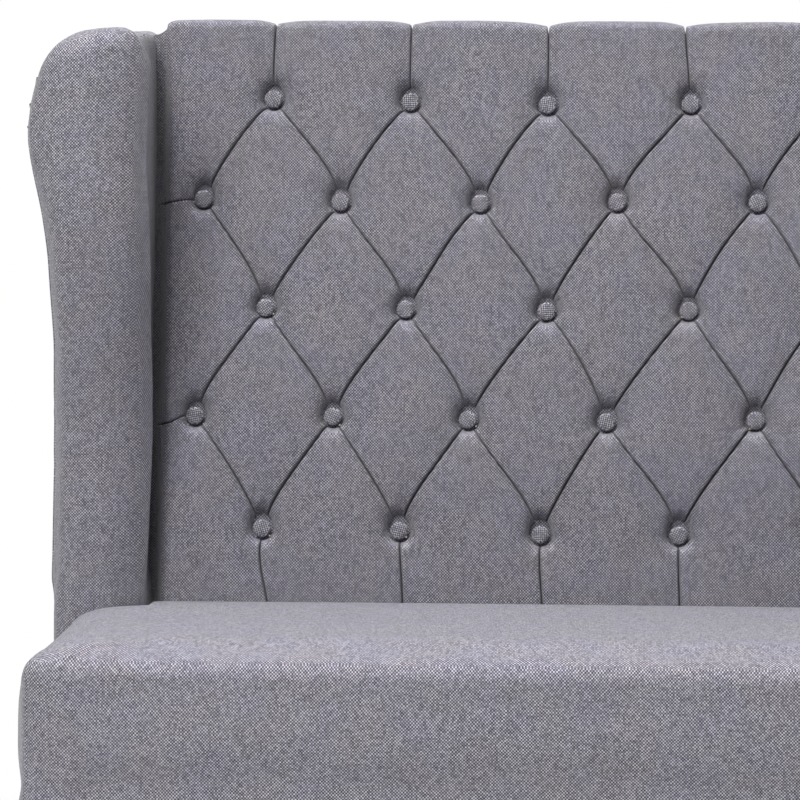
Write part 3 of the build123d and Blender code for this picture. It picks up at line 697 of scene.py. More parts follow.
def tuftDepth(x, run):
    # how deep the cover lies behind its crowns
    soft = np.zeros_like(x)
    crease = np.zeros_like(x)
    for near, away, above, sharp, deep in nearness(folds.values(), x, run):
        # the cloth above a pleat laps over it, so it falls off more steeply
        reach = back["softReach"] * np.where(above, back["lapped"], back["fallingOff"])
        soft[near] += (deep * np.exp(-((away / reach) ** back["softPower"]))) ** 3
        slot = back["creaseReach"] * (back["faintest"] + (1 - back["faintest"]) * sharp)
        line = sharp**0.5 * np.exp(-((away / slot) ** back["creasePower"]))
        crease[near] = np.maximum(crease[near], line)
    overRoll = smooth(back["bendStart"] - 0.02, back["bendStart"] + 0.03, run)
    softDepth = back["softDepth"] * (1 - overRoll) + back["rollDepth"] * overRoll
    depth = softDepth * np.minimum(soft ** (1 / 3), 1.25)
    side = back["halfWidth"] - np.abs(x)
    depth += back["edgeDepth"] * np.exp(-side / back["edgeReach"]) * (1 - 0.8 * nearTop(run))
    depth += back["uneven"] * np.sin(x * 31 + 1.3) * np.sin(run * 27 + 0.4)
    hollow = np.zeros_like(x)
    wide = np.zeros_like(x)
    for bx, br in marks:
        # a button draws the cloth above it in further than the cloth below it
        up = run - br
        up = up * np.where(up > 0, back["drawnAbove"], back["drawnBelow"])
        away = np.clip(np.hypot(x - bx, up) - back["tuckRim"], 0, None)
        hollow = np.maximum(hollow, np.exp(-away / back["tuckReach"]))
        wide = np.maximum(wide, np.exp(-((away / back["hollowReach"]) ** back["hollowPower"])))
    depth = np.maximum(depth, 0) + back["hollowDepth"] * wide
    depth += back["creaseDepth"] * crease * (1 - 0.35 * overRoll)
    depth += (back["tuckDepth"] - np.minimum(depth, back["tuckDepth"])) * hollow
    wrinkle = np.zeros_like(x)
    for near, away, above, sharp, deep in nearness(puckers, x, run):
        lines = sharp * np.exp(-((away / puckering["width"]) ** 1.5))
        wrinkle[near] = np.maximum(wrinkle[near], lines)
    bare = 1 - smooth(0.90, 1.0, hollow)
    return depth + puckering["depth"] * wrinkle * bare


def gradedRuns(low, high):
    # rows of the mesh, closer together near each row of buttons
    runs = [low]
    while runs[-1] < high - 1e-6:
        isFine = min(abs(runs[-1] - row) for row in rows) < back["fineWithin"]
        runs.append(min(high, runs[-1] + back["fineStep" if isFine else "wideStep"]))
    return np.array(runs)


def cellBounds():
    # left and right sides of every pillow, from its lowest to its highest row
    cells = []
    end = topEdge()[3]

    def at(row, x, side):
        return folds[(row, round(x, 4), side)]

    def through(row, lower, upper):
        return [(rows[row - 1], rows[row], lower), (rows[row], rows[row + 1], upper)]

    def fromFoot(x, side):
        return [(coverLow, rows[0], folds[("foot", round(x, 4))]), (rows[0], rows[1], at(0, x, side))]

    def toHead(x, side, head):
        return [(rows[3], rows[4], at(3, x, side)), (rows[4], end, folds[("head", round(head, 4))])]

    for row in (1, 2, 3):
        for x in spread(buttonsIn(row) - 1):
            left = through(row, at(row - 1, x, -1), at(row, x - pitch / 2, 1))
            right = through(row, at(row - 1, x, 1), at(row, x + pitch / 2, -1))
            cells.append((rows[row - 1], rows[row + 1], left, right))
    for x in spread(back["evenRow"] - 2):
        near, far = x - pitch / 2, x + pitch / 2
        cells.append((coverLow, rows[1], fromFoot(near, 1), fromFoot(far, -1)))
        cells.append((rows[3], end, toHead(x, -1, near), toHead(x, 1, far)))
    for side in (-1, 1):
        near, far = side * (outermost - 0.5) * pitch, side * outermost * pitch
        wall = [(coverLow, end, side * back["halfWidth"])]
        for bottom, top, line in ((coverLow, rows[1], fromFoot(near, side)),
                                  (rows[1], rows[3], through(2, at(1, far, -side), at(2, near, side))),
                                  (rows[3], end, toHead(far, -side, near))):
            cells.append((bottom, top, line, wall) if side > 0 else (bottom, top, wall, line))
    return cells


def sideAt(line, runs):
    x = np.zeros_like(runs)
    for low, high, fold in line:
        use = (runs >= low - 1e-9) & (runs <= high + 1e-9)
        x[use] = fold if isinstance(fold, float) else foldAcross(fold, runs[use])
    return x


def makeTuftedBack():
    # columns of the mesh stand closest together along the pleats
    columns = np.linspace(0.0, 1.0, back["columns"])
    columns = columns - 0.97 * np.sin(2 * math.pi * columns) / (2 * math.pi)
    points, faces, count = [], [], 0
    for low, high, left, right in cellBounds():
        runs = gradedRuns(low, high)
        x0, x1 = sideAt(left, runs), sideAt(right, runs)
        x = x0[:, None] + (x1 - x0)[:, None] * columns[None, :]
        run = np.repeat(runs[:, None], len(columns), axis=1)
        # level pleats bow, so the rows beside them bow too
        for row in (1, 3):
            for side in (-1, 1):
                offset = foldHeight(folds[("level", row, side)], x) - rows[row]
                bowed = offset * np.exp(-(((run - rows[row]) / 0.02) ** 2))
                run = run + np.where(side * x > outermost * pitch - 0.02, bowed, 0.0)
        points.append(np.stack([x.ravel(), run.ravel()], axis=1))
        faces += gridFaces(len(runs), len(columns), first=count)
        count += x.size
    flat = np.concatenate(points)
    x, run = flat[:, 0], flat[:, 1]
    depth = tuftDepth(x, run)
    piece = meshPiece("tuftedBackPad", coverPoint(*tiedFlat(x, run), depth), faces)
    weld(piece, 4e-5)
    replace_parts(piece, "tufted_cover", "back_foam")
    # side walls that close the pad beside each wing
    runs = gradedRuns(coverLow, topEdge()[3])
    shallower = 1 - 0.62 * nearTop(runs)
    for side, name in ((-1, "leftPadSide"), (1, "rightPadSide")):
        edge = np.full(len(runs), side * back["halfWidth"])
        start = tuftDepth(edge, runs)
        strips = [coverPoint(edge, runs, start)]
        for out, depth in back["wallSteps"]:
            strips.append(coverPoint(edge + side * out, runs, np.maximum(start, depth * shallower)))
        wall = meshPiece(name, np.concatenate(strips), gridFaces(len(strips), len(runs)))
        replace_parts(wall, "tufted_cover")
    return piece


tuftedBack = makeTuftedBack()
print("tufted back made:", len(tuftedBack.data.vertices), "points")


button = dict(radius=0.0095, dome=0.0046, edge=0.0040, depth=0.0262, tilt=6.0, corners=40)


def makeButtons():
    # a low dome of cloth over a round shell, its edge rolled under
    profile = []
    for share in np.linspace(0.0, 1.0, 9)[1:]:
        angle = share * math.pi / 2
        profile.append((math.sin(angle), button["edge"] + button["dome"] * math.cos(angle)))
    profile += [(1.02, 0.6 * button["edge"]), (0.985, 0.15 * button["edge"]), (0.86, 0.0)]
    loops = [circleAt(0, 0, button["radius"] * reach, height, button["corners"])
             for reach, height in profile]
    piece = loftedLoops("tuftButton01", loops, rings=3)
    shape = piece.data
    across, up = tiedFlat(marks[:, 0], marks[:, 1])
    for k in range(len(marks)):
        if k:
            piece = addObject("tuftButton%02d" % (k + 1), shape)
            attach(piece, "root")
        # faces the front, sits in its hollow and is turned and tipped a little by hand
        lean = Matrix.Rotation(math.pi / 2 - back["lean"], 4, "X")
        tipped = Matrix.Rotation(math.radians(random.uniform(-1, 1) * button["tilt"]), 4, "X")
        turned = Matrix.Rotation(math.radians(random.uniform(-1, 1) * button["tilt"]), 4, "Y")
        spun = Matrix.Rotation(random.uniform(0, 2 * math.pi), 4, "Z")
        place = reclined(across[k], np.array(button["depth"]), up[k])
        piece.matrix_world = Matrix.Translation(Vector(place)) @ lean @ tipped @ turned @ spun
        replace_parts(piece, "tufting_buttons")


makeButtons()
print("buttons made:", len(marks))


def ovalInset(distance, reach, drop, power=2.0):
    # how far a rounded edge has drawn in, a distance below its top
    share = np.clip(1 - np.asarray(distance, float) / drop, 0.0, 1.0)
    return reach * (1 - (1 - share**power) ** (1 / power))


seat = dict(
    cornerRadius=0.040, frontRound=0.040, frontDrop=0.040, endRound=0.041, endDrop=0.033, endPower=2.3,
    footRound=0.008, footDrop=0.018, crown=0.007, levels=17,
    notch=0.088, notchSlant=0.010, neckGap=0.001, rearGap=0.004,    # where it goes in between the wings
    seamTurn=math.radians(-38), seamDepth=0.0016, seamWidth=0.0022, voxel=0.006,
)


def seatLoop(z):
    top, foot = seatLine - z, z - seatLow.z
    footIn = float(ovalInset(foot, seat["footRound"], seat["footDrop"]))
    front = seatLow.y + float(ovalInset(top, seat["frontRound"], seat["frontDrop"])) + footIn
    half = seatHigh.x - float(ovalInset(top, seat["endRound"], seat["endDrop"], seat["endPower"])) - footIn
    rear = junction - seat["rearGap"]
    notch = junction - seat["notch"] - seat["rearGap"]
    neck = wingLow.x - seat["neckGap"]
    radius = seat["cornerRadius"]
    points = [(x, front) for x in np.linspace(0, half - radius, 26)[:-1]]
    for turn in np.linspace(-math.pi / 2, 0, 16)[:-1]:
        points.append((half - radius + radius * math.cos(turn), front + radius + radius * math.sin(turn)))
    points += [(half, y) for y in np.linspace(front + radius, notch, 18)[:-1]]
    for share in np.linspace(0, 1, 6)[:-1]:
        points.append((half + (neck - half) * share, notch + seat["notchSlant"] * share))
    points += [(neck, y) for y in np.linspace(notch + seat["notchSlant"], rear, 8)[:-1]]
    points += [(x, rear) for x in np.linspace(neck, 0, 24)]
    left = [(-px, py) for px, py in reversed(points[1:-1])]
    return np.array([(px, py, z) for px, py in points + left])


def aboveFoot(z, low):
    # every cover is tacked down along its foot
    return smooth(low + 0.006, low + 0.030, z)


def seatFreedom(points):
    # the cover is also held where the back stands on it
    y, z = points[:, 1], points[:, 2]
    return aboveFoot(z, seatLow.z) * (1 - smooth(junction - 0.110, junction - 0.060, y))


def seamAt(z, lift=0.0):
    # point of the sewn corner seam at a height, on the settled pad, and the way that it faces
    turn = seat["seamTurn"]
    radius = seat["cornerRadius"]
    x = seatHigh.x - radius + (radius + lift) * math.cos(turn)
    y = seatLow.y + radius + (radius + lift) * math.sin(turn)
    return Vector((x, y, z)), Vector((math.cos(turn), math.sin(turn), 0.0))


def makeSeat():
    heights = [seatLow.z + seat["footDrop"] * s for s in np.linspace(0, 1, 6)[:-1]]
    heights += list(np.linspace(seatLow.z + seat["footDrop"], seatLine - seat["endDrop"], 8)[:-1])
    for share in np.linspace(0, 1, seat["levels"]):
        heights.append(seatLine - seat["endDrop"] * (1 - math.sin(share * math.pi / 2)))
    piece = loftedLoops("seatPad", [seatLoop(z) for z in heights], rings=14)
    points = pointsOf(piece.data)
    x, y, z = points.T
    u = x / (seatHigh.x - seat["endRound"])
    v = (y - seatLow.y - seat["frontRound"]) / (back["seatDepth"] - seat["frontRound"])
    crown = np.sqrt(np.clip(1 - u * u, 0, 1)) * np.sqrt(np.clip(1 - (2 * v - 1) ** 2, 0, 1))
    z += np.where(z > seatLine - 1e-4, seat["crown"] * crown, 0.0)
    movePoints(piece, points)
    settle(piece, seatFreedom, seat["voxel"])
    points = pointsOf(piece.data)
    x, y, z = points.T
    # each front corner draws in along its seam
    place, facing = seamAt(0.0)
    for side in (-1, 1):
        across = (x * side - place.x) * -facing.y + (y - place.y) * facing.x
        outside = (x * side - place.x) * facing.x + (y - place.y) * facing.y
        groove = np.exp(-((across / seat["seamWidth"]) ** 2)) * smooth(-0.02, -0.008, outside)
        groove *= 1 - smooth(seatLine - 0.03, seatLine - 0.005, z)
        x -= side * facing.x * seat["seamDepth"] * groove
        y -= facing.y * seat["seamDepth"] * groove
    movePoints(piece, points)
    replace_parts(piece, "seat_cover", "seat_foam")
    return piece


seatPad = makeSeat()
print("seat made:", len(seatPad.data.vertices), "points")


def surfaceOf(piece):
    return BVHTree.FromObject(piece, bpy.context.evaluated_depsgraph_get())


stitch = dict(length=0.0042, gap=0.0024, thick=0.00055, apart=0.0034, sink=0.00015, sides=6, rings=5,
              firstAt=0.004)


def stitchPoints(start, end, facing):
    # one stitch: a short thread that dives into the cloth at both ends
    along = (end - start).normalized()
    across = along.cross(facing).normalized()
    points = []
    for share in np.linspace(0, 1, stitch["rings"]):
        bow = math.sin(math.pi * share)
        centre = start.lerp(end, share) + facing * (stitch["thick"] * (1.3 * bow - 0.7) - stitch["sink"])
        radius = stitch["thick"] * (0.45 + 0.55 * bow)
        for k in range(stitch["sides"]):
            turn = 2 * math.pi * k / stitch["sides"]
            points.append(centre + (across * math.cos(turn) + facing * math.sin(turn)) * radius)
    return points


def stitchRow(name, track, surface, partner):
    # stitches laid along a track of (point, outward direction), seated on the surface below
    points, faces, seated = [], [], []
    for place, facing in track:
        spot, normal = surface.ray_cast(place + facing * 0.03, -facing, 0.08)[:2]
        if spot is not None:
            seated.append((spot, normal))
    lengths = [0.0]
    for (a, _), (b, _) in zip(seated, seated[1:]):
        lengths.append(lengths[-1] + (b - a).length)

    def placeAt(run):
        k = int(np.clip(np.searchsorted(lengths, run) - 1, 0, len(seated) - 2))
        share = (run - lengths[k]) / max(lengths[k + 1] - lengths[k], 1e-9)
        return seated[k][0].lerp(seated[k + 1][0], share), seated[k][1]

    run = stitch["firstAt"]
    while run + stitch["length"] < lengths[-1]:
        (start, facing), (end, _) = placeAt(run), placeAt(run + stitch["length"])
        first = len(points)
        points += stitchPoints(start, end, facing)
        faces += gridFaces(stitch["rings"], stitch["sides"], closed=True, first=first)
        run += stitch["length"] + stitch["gap"]
    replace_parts(meshPiece(name, points, faces), partner)


def makeSeatSeams():
    # two rows of stitches down each front corner
    surface = surfaceOf(seatPad)
    place, facing = seamAt(0.0)
    along = Vector((-facing.y, facing.x, 0.0))
    for side, hand in hands.items():
        outward = Vector((side * facing.x, facing.y, 0.0))
        for k in (-1, 1):
            start = place + along * (k * stitch["apart"])
            track = [(Vector((side * start.x, start.y, z)), outward)
                     for z in np.linspace(seatLine - 0.016, seatLow.z + 0.004, 40)]
            stitchRow("seatSeam_%s_%d" % (hand, (k + 3) // 2), track, surface, "seat_cover")


makeSeatSeams()
print("seat seams sewn")


wing = dict(
    reach=0.088, sweep=0.096, sweepStart=0.140, sweepHeight=0.340, cornerRadius=0.050,
    rearRadius=0.016, rise=0.6265, thickness=0.0965,
    innerRound=0.046, innerDrop=0.054, outerRound=0.026, outerDrop=0.028,
    topInner=0.017, topInnerDrop=0.022, topOuter=0.085, topOuterDrop=0.090, topPower=2.5,
    recess=0.007, slices=37, voxel=0.005,
    panelOut=0.60, panelInset=0.020, panelLift=0.0016, panelTop=0.078, panelRear=0.012, panelFoot=0.004,
)
# how far the padded faces stand out beyond the frame, up the wing: height, then metres
outerSwell = (
    (0.48, 0.0), (0.53, -0.0020), (0.60, -0.0028), (0.65, -0.0035), (0.70, -0.0050), (0.76, -0.0080),
    (0.81, -0.0074), (0.86, -0.0072), (0.89, -0.0045), (0.91, -0.0020), (0.94, 0.0042), (0.97, 0.0102),
    (0.99, 0.0120), (1.02, 0.0116), (1.05, 0.0095), (1.10, 0.0080),
)
innerSwell = (
    (0.48, 0.0005), (0.53, 0.0012), (0.60, 0.0022), (0.70, 0.0036), (0.78, 0.0058), (0.83, 0.0088),
    (0.90, 0.0105), (0.96, 0.0090), (1.02, 0.0112), (1.06, 0.0130),
)


def swellAt(table, z):
    heights, amounts = zip(*table)
    return np.interp(z, heights, amounts)


def wingFront(height):
    # the front edge runs straight up, then sweeps forward
    share = np.clip((height - seatLine - wing["sweepStart"]) / wing["sweepHeight"], 0.0, 1.0)
    return junction - wing["reach"] - wing["sweep"] * 0.5 * (1 - np.cos(math.pi * share))


def wingRear(z):
    return junction + back["topDepth"] / math.cos(back["lean"]) + (z - seatLine) * math.tan(back["lean"])


def wingLoop(inset, topInset):
    low = wingLow.z
    top = seatLine + wing["rise"] - topInset
    radius, small = wing["cornerRadius"], wing["rearRadius"]
    corner = top - radius
    points = [(wingFront(z) + inset, z) for z in np.linspace(low, corner, 70)]
    front = wingFront(corner) + inset
    for turn in np.linspace(math.pi, math.pi / 2, 20)[1:]:
        points.append((front + radius + radius * math.cos(turn), corner + radius * math.sin(turn)))
    crest = wingRear(top - small) - small
    points += [(y, top) for y in np.linspace(front + radius, crest, 14)[1:]]
    for turn in np.linspace(math.pi / 2, 0, 7)[1:]:
        points.append((crest + small * math.cos(turn), top - small + small * math.sin(turn)))
    points += [(wingRear(z), z) for z in np.linspace(top - small, low, 50)[1:]]
    points += [(y, low) for y in np.linspace(wingRear(low), wingFront(low) + inset, 16)[1:-1]]
    return points


def wingFreedom(points):
    # held along its foot and rear, and where its inner face meets the back and the seat
    x, y, z = points.T
    free = aboveFoot(z, wingLow.z) * (1 - smooth(-0.060, -0.015, y - wingRear(z)))
    inner = 1 - smooth(wingLow.x + 0.006, wingLow.x + 0.030, np.abs(x))
    beside = smooth(-0.075, -0.040, y - (junction + (z - seatLine) * math.tan(back["lean"])))
    seated = 1 - smooth(seatLine + 0.004, seatLine + 0.03, z)
    return free * (1 - inner * beside) * (1 - 0.8 * seated)


def standOut(z):
    return swellAt(outerSwell, z) * smooth(seatLine - 0.03, seatLine + 0.01, z)


def standIn(y, z):
    # the front edge is a plump roll and the inner face behind it lies further out
    behind = smooth(0.048, 0.080, y - wingFront(z)) * smooth(seatLine + 0.002, seatLine + 0.02, z)
    inward = swellAt(innerSwell, z) * (1 - behind) - wing["recess"] * behind
    return inward * smooth(seatLine - 0.01, seatLine + 0.01, z)


def makeWing(side):
    loops = []
    for share in 0.5 * (1 - np.cos(np.linspace(0, math.pi, wing["slices"]))):
        into, out = share * wing["thickness"], (1 - share) * wing["thickness"]
        inset = float(ovalInset(into, wing["innerRound"], wing["innerDrop"])
                      + ovalInset(out, wing["outerRound"], wing["outerDrop"]))
        topInset = float(ovalInset(into, wing["topInner"], wing["topInnerDrop"])
                         + ovalInset(out, wing["topOuter"], wing["topOuterDrop"], wing["topPower"]))
        y, z = np.array(wingLoop(inset, topInset)).T
        x = wingLow.x + into + standOut(z) * share - standIn(y, z) * (1 - share) ** 2
        loops.append(np.stack([side * x, y, z], axis=1))
    # rings across both faces, with the same swells as their edges
    inner, outer = [], []
    for edge, rings in ((loops[0], inner), (loops[-1], outer)):
        middle = edge.mean(axis=0)
        for share in np.linspace(1.0, 0.04, 17)[1:]:
            ring = middle + (edge - middle) * share
            y, z = ring[:, 1], ring[:, 2]
            stands = wing["thickness"] + standOut(z) if rings is outer else -standIn(y, z)
            ring[:, 0] = side * (wingLow.x + stands)
            rings.append(ring)
    piece = loftedLoops(hands[side] + "WingPad", inner[::-1] + loops + outer, rings=2)
    settle(piece, wingFreedom, wing["voxel"])
    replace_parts(piece, "wing_cover_" + hands[side], "wing_foam_" + hands[side])
    return piece


wings = {side: makeWing(side) for side in (-1, 1)}
print("wings made:", len(wings[1].data.vertices), "points each")


def groundOf(surface, place, away, above, reach=0.30):
    # the point of the surface under a place, or the place where there is none
    spot = surface.ray_cast(place + away * above, -away, reach)[0]
    return place if spot is None else spot


def facePanel(name, outline, surface, facing, lift, partner, rings=12):
    # cloth laid over a face from an outline: the rings inside it stand off the pad, its edge tucks in
    middle = outline.mean(axis=0)
    away = Vector(facing)
    points = []
    for k in range(rings + 1):
        share = 0.994 if k == rings - 1 else (k / rings) ** 0.5
        raised = lift * (1 if k == 0 else -0.6 if k == rings else 0.95)
        for place in middle + (outline - middle) * share:
            points.append(groundOf(surface, Vector(place), away, 0.10) + away * raised)
    piece = meshPiece(name, points, gridFaces(rings + 1, len(outline), closed=True))
    weld(piece)
    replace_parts(piece, partner)
    return piece


def areaOf(piece):
    return round(sum(polygon.area for polygon in piece.data.polygons), 4)


def roundedSpans(spans):
    return tuple(round(float(span), 3) for span in spans)


def makeWingPanels():
    # the outer face of each wing is a panel of its own, sewn on inside the edge of the front roll
    for side, hand in hands.items():
        outline = []
        for y, z in wingLoop(wing["outerRound"] + wing["panelInset"], wing["panelTop"]):
            rear, foot = wingRear(z) - wing["panelRear"], wingLow.z + wing["panelFoot"]
            outline.append((side * wing["panelOut"], min(y, rear), max(z, foot)))
        outline = np.array(outline)
        panel = facePanel(hand + "WingPanelCloth", outline, surfaceOf(wings[side]), (side, 0, 0),
                          wing["panelLift"], "wing_cover_" + hand)
        spans = roundedSpans(np.ptp(outline, axis=0)[1:])
        print("wing panel:", hand, spans, areaOf(panel))


makeWingPanels()

tuck = dict(
    length=0.017, width=0.0030, height=0.0015, steps=9,
    section=((-1.0, -0.4), (-0.3, 0.55), (0.35, 1.0), (0.8, 0.55), (0.95, -0.5)),   # across, then up
    # of each tuck: how far behind the front edge, how far below the top, and its tilt
    spots=((0.034, 0.112, 8), (0.036, 0.088, 16), (0.044, 0.060, 30), (0.060, 0.048, 48)),
)


def makeTucks():
    # small folds where the cover is drawn round the top corner of each wing
    top = seatLine + wing["rise"]
    front = wingFront(top)
    for side, hand in hands.items():
        surface = surfaceOf(wings[side])
        outward = Vector((side, 0, 0))
        points, faces = [], []
        for behind, below, tilt in tuck["spots"]:
            lean = math.radians(tilt)
            along = Vector((0.0, math.cos(lean), -math.sin(lean)))
            across = Vector((0.0, math.sin(lean), math.cos(lean)))
            first = len(points)
            for share in np.linspace(0, 1, tuck["steps"]):
                reach = tuck["width"] * math.sin(math.pi * min(1.0, share * 1.15 + 0.05)) ** 0.6 + 0.0002
                for k, lift in tuck["section"]:
                    place = Vector((side * 0.56, front + behind, top - below))
                    place = place + along * (tuck["length"] * share)
                    place += across * (reach * k)
                    rise = tuck["height"] * lift * (1 - share) ** 0.35
                    points.append(groundOf(surface, place, outward, 0.12) + outward * rise)
            faces += gridFaces(tuck["steps"], len(tuck["section"]), first=first)
        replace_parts(meshPiece(hand + "WingTucks", points, faces), "wing_cover_" + hand)


makeTucks()
print("wing panels and tucks made")


leg = dict(blockHeight=0.062, block=0.050, edge=0.0025, foot=0.012, shoulder=0.0205, lip=0.0225,
           neck=0.017, bead=0.0235, beadHeight=0.016, coveHeight=0.010, lipHeight=0.006, neckLength=0.004,
           corners=56, backWidth=0.045, backEdge=0.0022)


def legProfile(top):
    # (radius, height) up the turned part of a front leg
    block = top - leg["blockHeight"]
    beadHigh = block - leg["neckLength"]
    beadLow = beadHigh - leg["beadHeight"]
    cove = beadLow - leg["neckLength"]
    lip = cove - leg["coveHeight"]
    shoulder = lip - leg["lipHeight"]
    profile = [(leg["foot"] - 0.0015, glideHigh), (leg["foot"], glideHigh + 0.0015)]

    def rise(steps, startRadius, endRadius, low, high, shape):
        # from one radius and height to the next, the radius by its own curve
        for share in np.linspace(0, 1, steps)[1:]:
            radius = startRadius + (endRadius - startRadius) * shape(share)
            profile.append((radius, low + (high - low) * share))

    for share in np.linspace(0, 1, 14)[1:]:
        swelling = 0.0008 * math.sin(math.pi * share)
        radius = leg["foot"] + (leg["shoulder"] - leg["foot"]) * share + swelling
        profile.append((radius, glideHigh + (shoulder - glideHigh) * share))
    rise(6, leg["shoulder"], leg["lip"], shoulder, lip, lambda share: math.sin(share * math.pi / 2))
    rise(8, leg["neck"], leg["lip"], lip, cove, lambda share: 1 - math.sin(math.pi / 2 * share))
    profile.append((leg["neck"], beadLow - 0.0005))
    profile.append((leg["neck"], beadLow))
    rise(15, leg["neck"], leg["bead"], beadLow, beadHigh,
         lambda share: math.sqrt(max(0.0, 1 - (2 * share - 1) ** 2)))
    profile.append((leg["neck"], block + 0.001))
    return profile


def squareAt(x, y, reach, edge, z):
    # a square with rounded corners
    loop = []
    for quarter in range(4):
        cx = (reach - edge) * (1 if quarter in (0, 3) else -1)
        cy = (reach - edge) * (1 if quarter in (0, 1) else -1)
        for turn in np.linspace(0, math.pi / 2, 5):
            angle = quarter * math.pi / 2 + turn
            loop.append((x + cx + edge * math.cos(angle), y + cy + edge * math.sin(angle), z))
    return np.array(loop)


def makeFrontLegs():
    for hand in hands.values():
        low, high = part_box("front_leg_" + hand)
        x, y = (low.x + high.x) / 2, (low.y + high.y) / 2
        loops = [circleAt(x, y, radius, z, leg["corners"]) for radius, z in legProfile(high.z)]
        turned = loftedLoops("frontLegTurned_" + hand, loops, "dark_leg_wood", rings=2)
        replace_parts(turned, "front_leg_" + hand)
        edge, foot = leg["edge"], high.z - leg["blockHeight"]
        loops = []
        # the block's upper and lower edges are eased
        for inset, z in ((2.0, foot), (0.6, foot + 0.0006), (0.0, foot + 0.0025),
                         (0.0, high.z - 0.001), (0.8, high.z)):
            loops.append(squareAt(x, y, leg["block"] / 2 - edge * inset * 0.4, edge, z))
        block = loftedLoops("frontLegBlock_" + hand, loops, "dark_leg_wood", rings=2)
        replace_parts(block, "front_leg_" + hand)


makeFrontLegs()


def makeBackLegs():
    # the same raked and tapered legs with their edges eased
    for hand in hands.values():
        node = frame["nodes"]["back_leg_" + hand]
        mesh = bmesh.new()
        mesh.from_mesh(node.data)
        mesh.transform(node.matrix_world)
        bmesh.ops.remove_doubles(mesh, verts=mesh.verts, dist=1e-6)
        bmesh.ops.dissolve_limit(mesh, angle_limit=math.radians(2), verts=mesh.verts, edges=mesh.edges)
        long = [edge for edge in mesh.edges if edge.calc_length() > 0.02]
        bmesh.ops.bevel(mesh, geom=long, offset=leg["backEdge"], segments=3, profile=0.5, affect="EDGES")
        mesh.verts.index_update()
        faces = [[v.index for v in face.verts] for face in mesh.faces]
        piece = meshPiece("backLeg_" + hand, [v.co[:] for v in mesh.verts], faces, "dark_leg_wood")
        mesh.free()
        shadeSmooth(piece.data, False)
        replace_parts(piece, "back_leg_" + hand)


makeBackLegs()

glide = dict(radius=0.011, nail=0.0035, corners=40)


def makeGlides():
    # a domed nylon disc nailed under each leg
    r, nail = glide["radius"], glide["nail"]
    profile = ((nail * 0.55, 0.0009), (nail, 0.0012), (nail * 1.25, 0.0004), (r * 0.55, 0.0),
               (r * 0.82, 0.0004), (r * 0.95, 0.0014), (r, 0.0028), (r, 0.0044), (r * 0.96, glideHigh))
    for name in ("front_leg_left", "front_leg_right", "back_leg_left", "back_leg_right"):
        foot = [c for c in worldPoints(name) if c.z < glideHigh + 0.002]
        x, y = sum(c.x for c in foot) / len(foot), sum(c.y for c in foot) / len(foot)
        loops = [circleAt(x, y, radius, z, glide["corners"]) for radius, z in profile]
        disc = loftedLoops("glide_" + name, loops, "glide_plastic", rings=2)
        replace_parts(disc, "leg_glides")


makeGlides()
print("legs and glides made")


outside = dict(turnIn=0.0035, hem=0.006, bulge=0.0010, rings=14, corners=400)


def hullOf(points):
    # outline of flat points, in order
    ordered = sorted(set((round(float(a), 5), round(float(b), 5)) for a, b in points))
    chains = []
    for line in (ordered, ordered[::-1]):
        chain = []
        for p in line:
            while len(chain) > 1 and ((chain[-1][0] - chain[-2][0]) * (p[1] - chain[-2][1])
                                      - (chain[-1][1] - chain[-2][1]) * (p[0] - chain[-2][0])) <= 0:
                chain.pop()
            chain.append(p)
        chains += chain[:-1]
    return np.array(chains)


def evenly(outline, count):
    closed = np.concatenate([outline, outline[:1]])
    lengths = np.concatenate([[0], np.cumsum(np.hypot(*np.diff(closed, axis=0).T))])
    places = np.linspace(0, lengths[-1], count, endpoint=False)
    return np.stack([np.interp(places, lengths, closed[:, k]) for k in (0, 1)], axis=1)


def makeOutsideBack():
    # cloth pulled flat over the board and turned in round its edge
    lean = back["lean"]
    flat = []
    for p in worldPoints("outside_back_cover"):
        depth = (p.y - junction) * math.cos(lean) - (p.z - seatLine) * math.sin(lean)
        height = (p.y - junction) * math.sin(lean) + (p.z - seatLine) * math.cos(lean)
        flat.append((p.x, height, depth))
    flat = np.array(flat)
    front, rear = flat[:, 2].min(), flat[:, 2].max()
    outline = evenly(hullOf(flat[:, :2]), outside["corners"])
    middle = (outline.min(axis=0) + outline.max(axis=0)) / 2
    half = np.ptp(outline, axis=0) / 2
    rings = []
    turned = front - outside["turnIn"]
    for inset, depth in ((outside["hem"], turned), (0.0005, turned), (0.0, front),
                         (0.0006, rear - 0.0003), (0.0030, rear)):
        rings.append((1 - inset / half[None, :], depth))
    for share in np.linspace(0, 1, outside["rings"])[1:]:
        rings.append((np.full((1, 2), (1 - 0.004) * (1 - share) ** 0.8), rear))
    points = []
    for scale, depth in rings:
        x, height = (middle + (outline - middle) * scale).T
        u, v = (x - middle[0]) / half[0], (height - middle[1]) / half[1]
        loose = outside["bulge"] * np.clip(1 - u * u, 0, 1) * np.clip(1 - v * v, 0, 1)
        loose = loose * (0.7 + 0.3 * np.sin(x * 9 + 2) * np.sin(height * 13)) * (depth == rear)
        points.append(reclined(x, depth + loose, height))
    faces = gridFaces(len(rings), len(outline), closed=True)
    piece = meshPiece("outsideBackCloth", np.concatenate(points), faces)
    weld(piece)
    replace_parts(piece, "outside_back_cover")


makeOutsideBack()

under = dict(sag=0.0020, room=0.0012, step=0.02, closest=0.004, lift=0.0004)


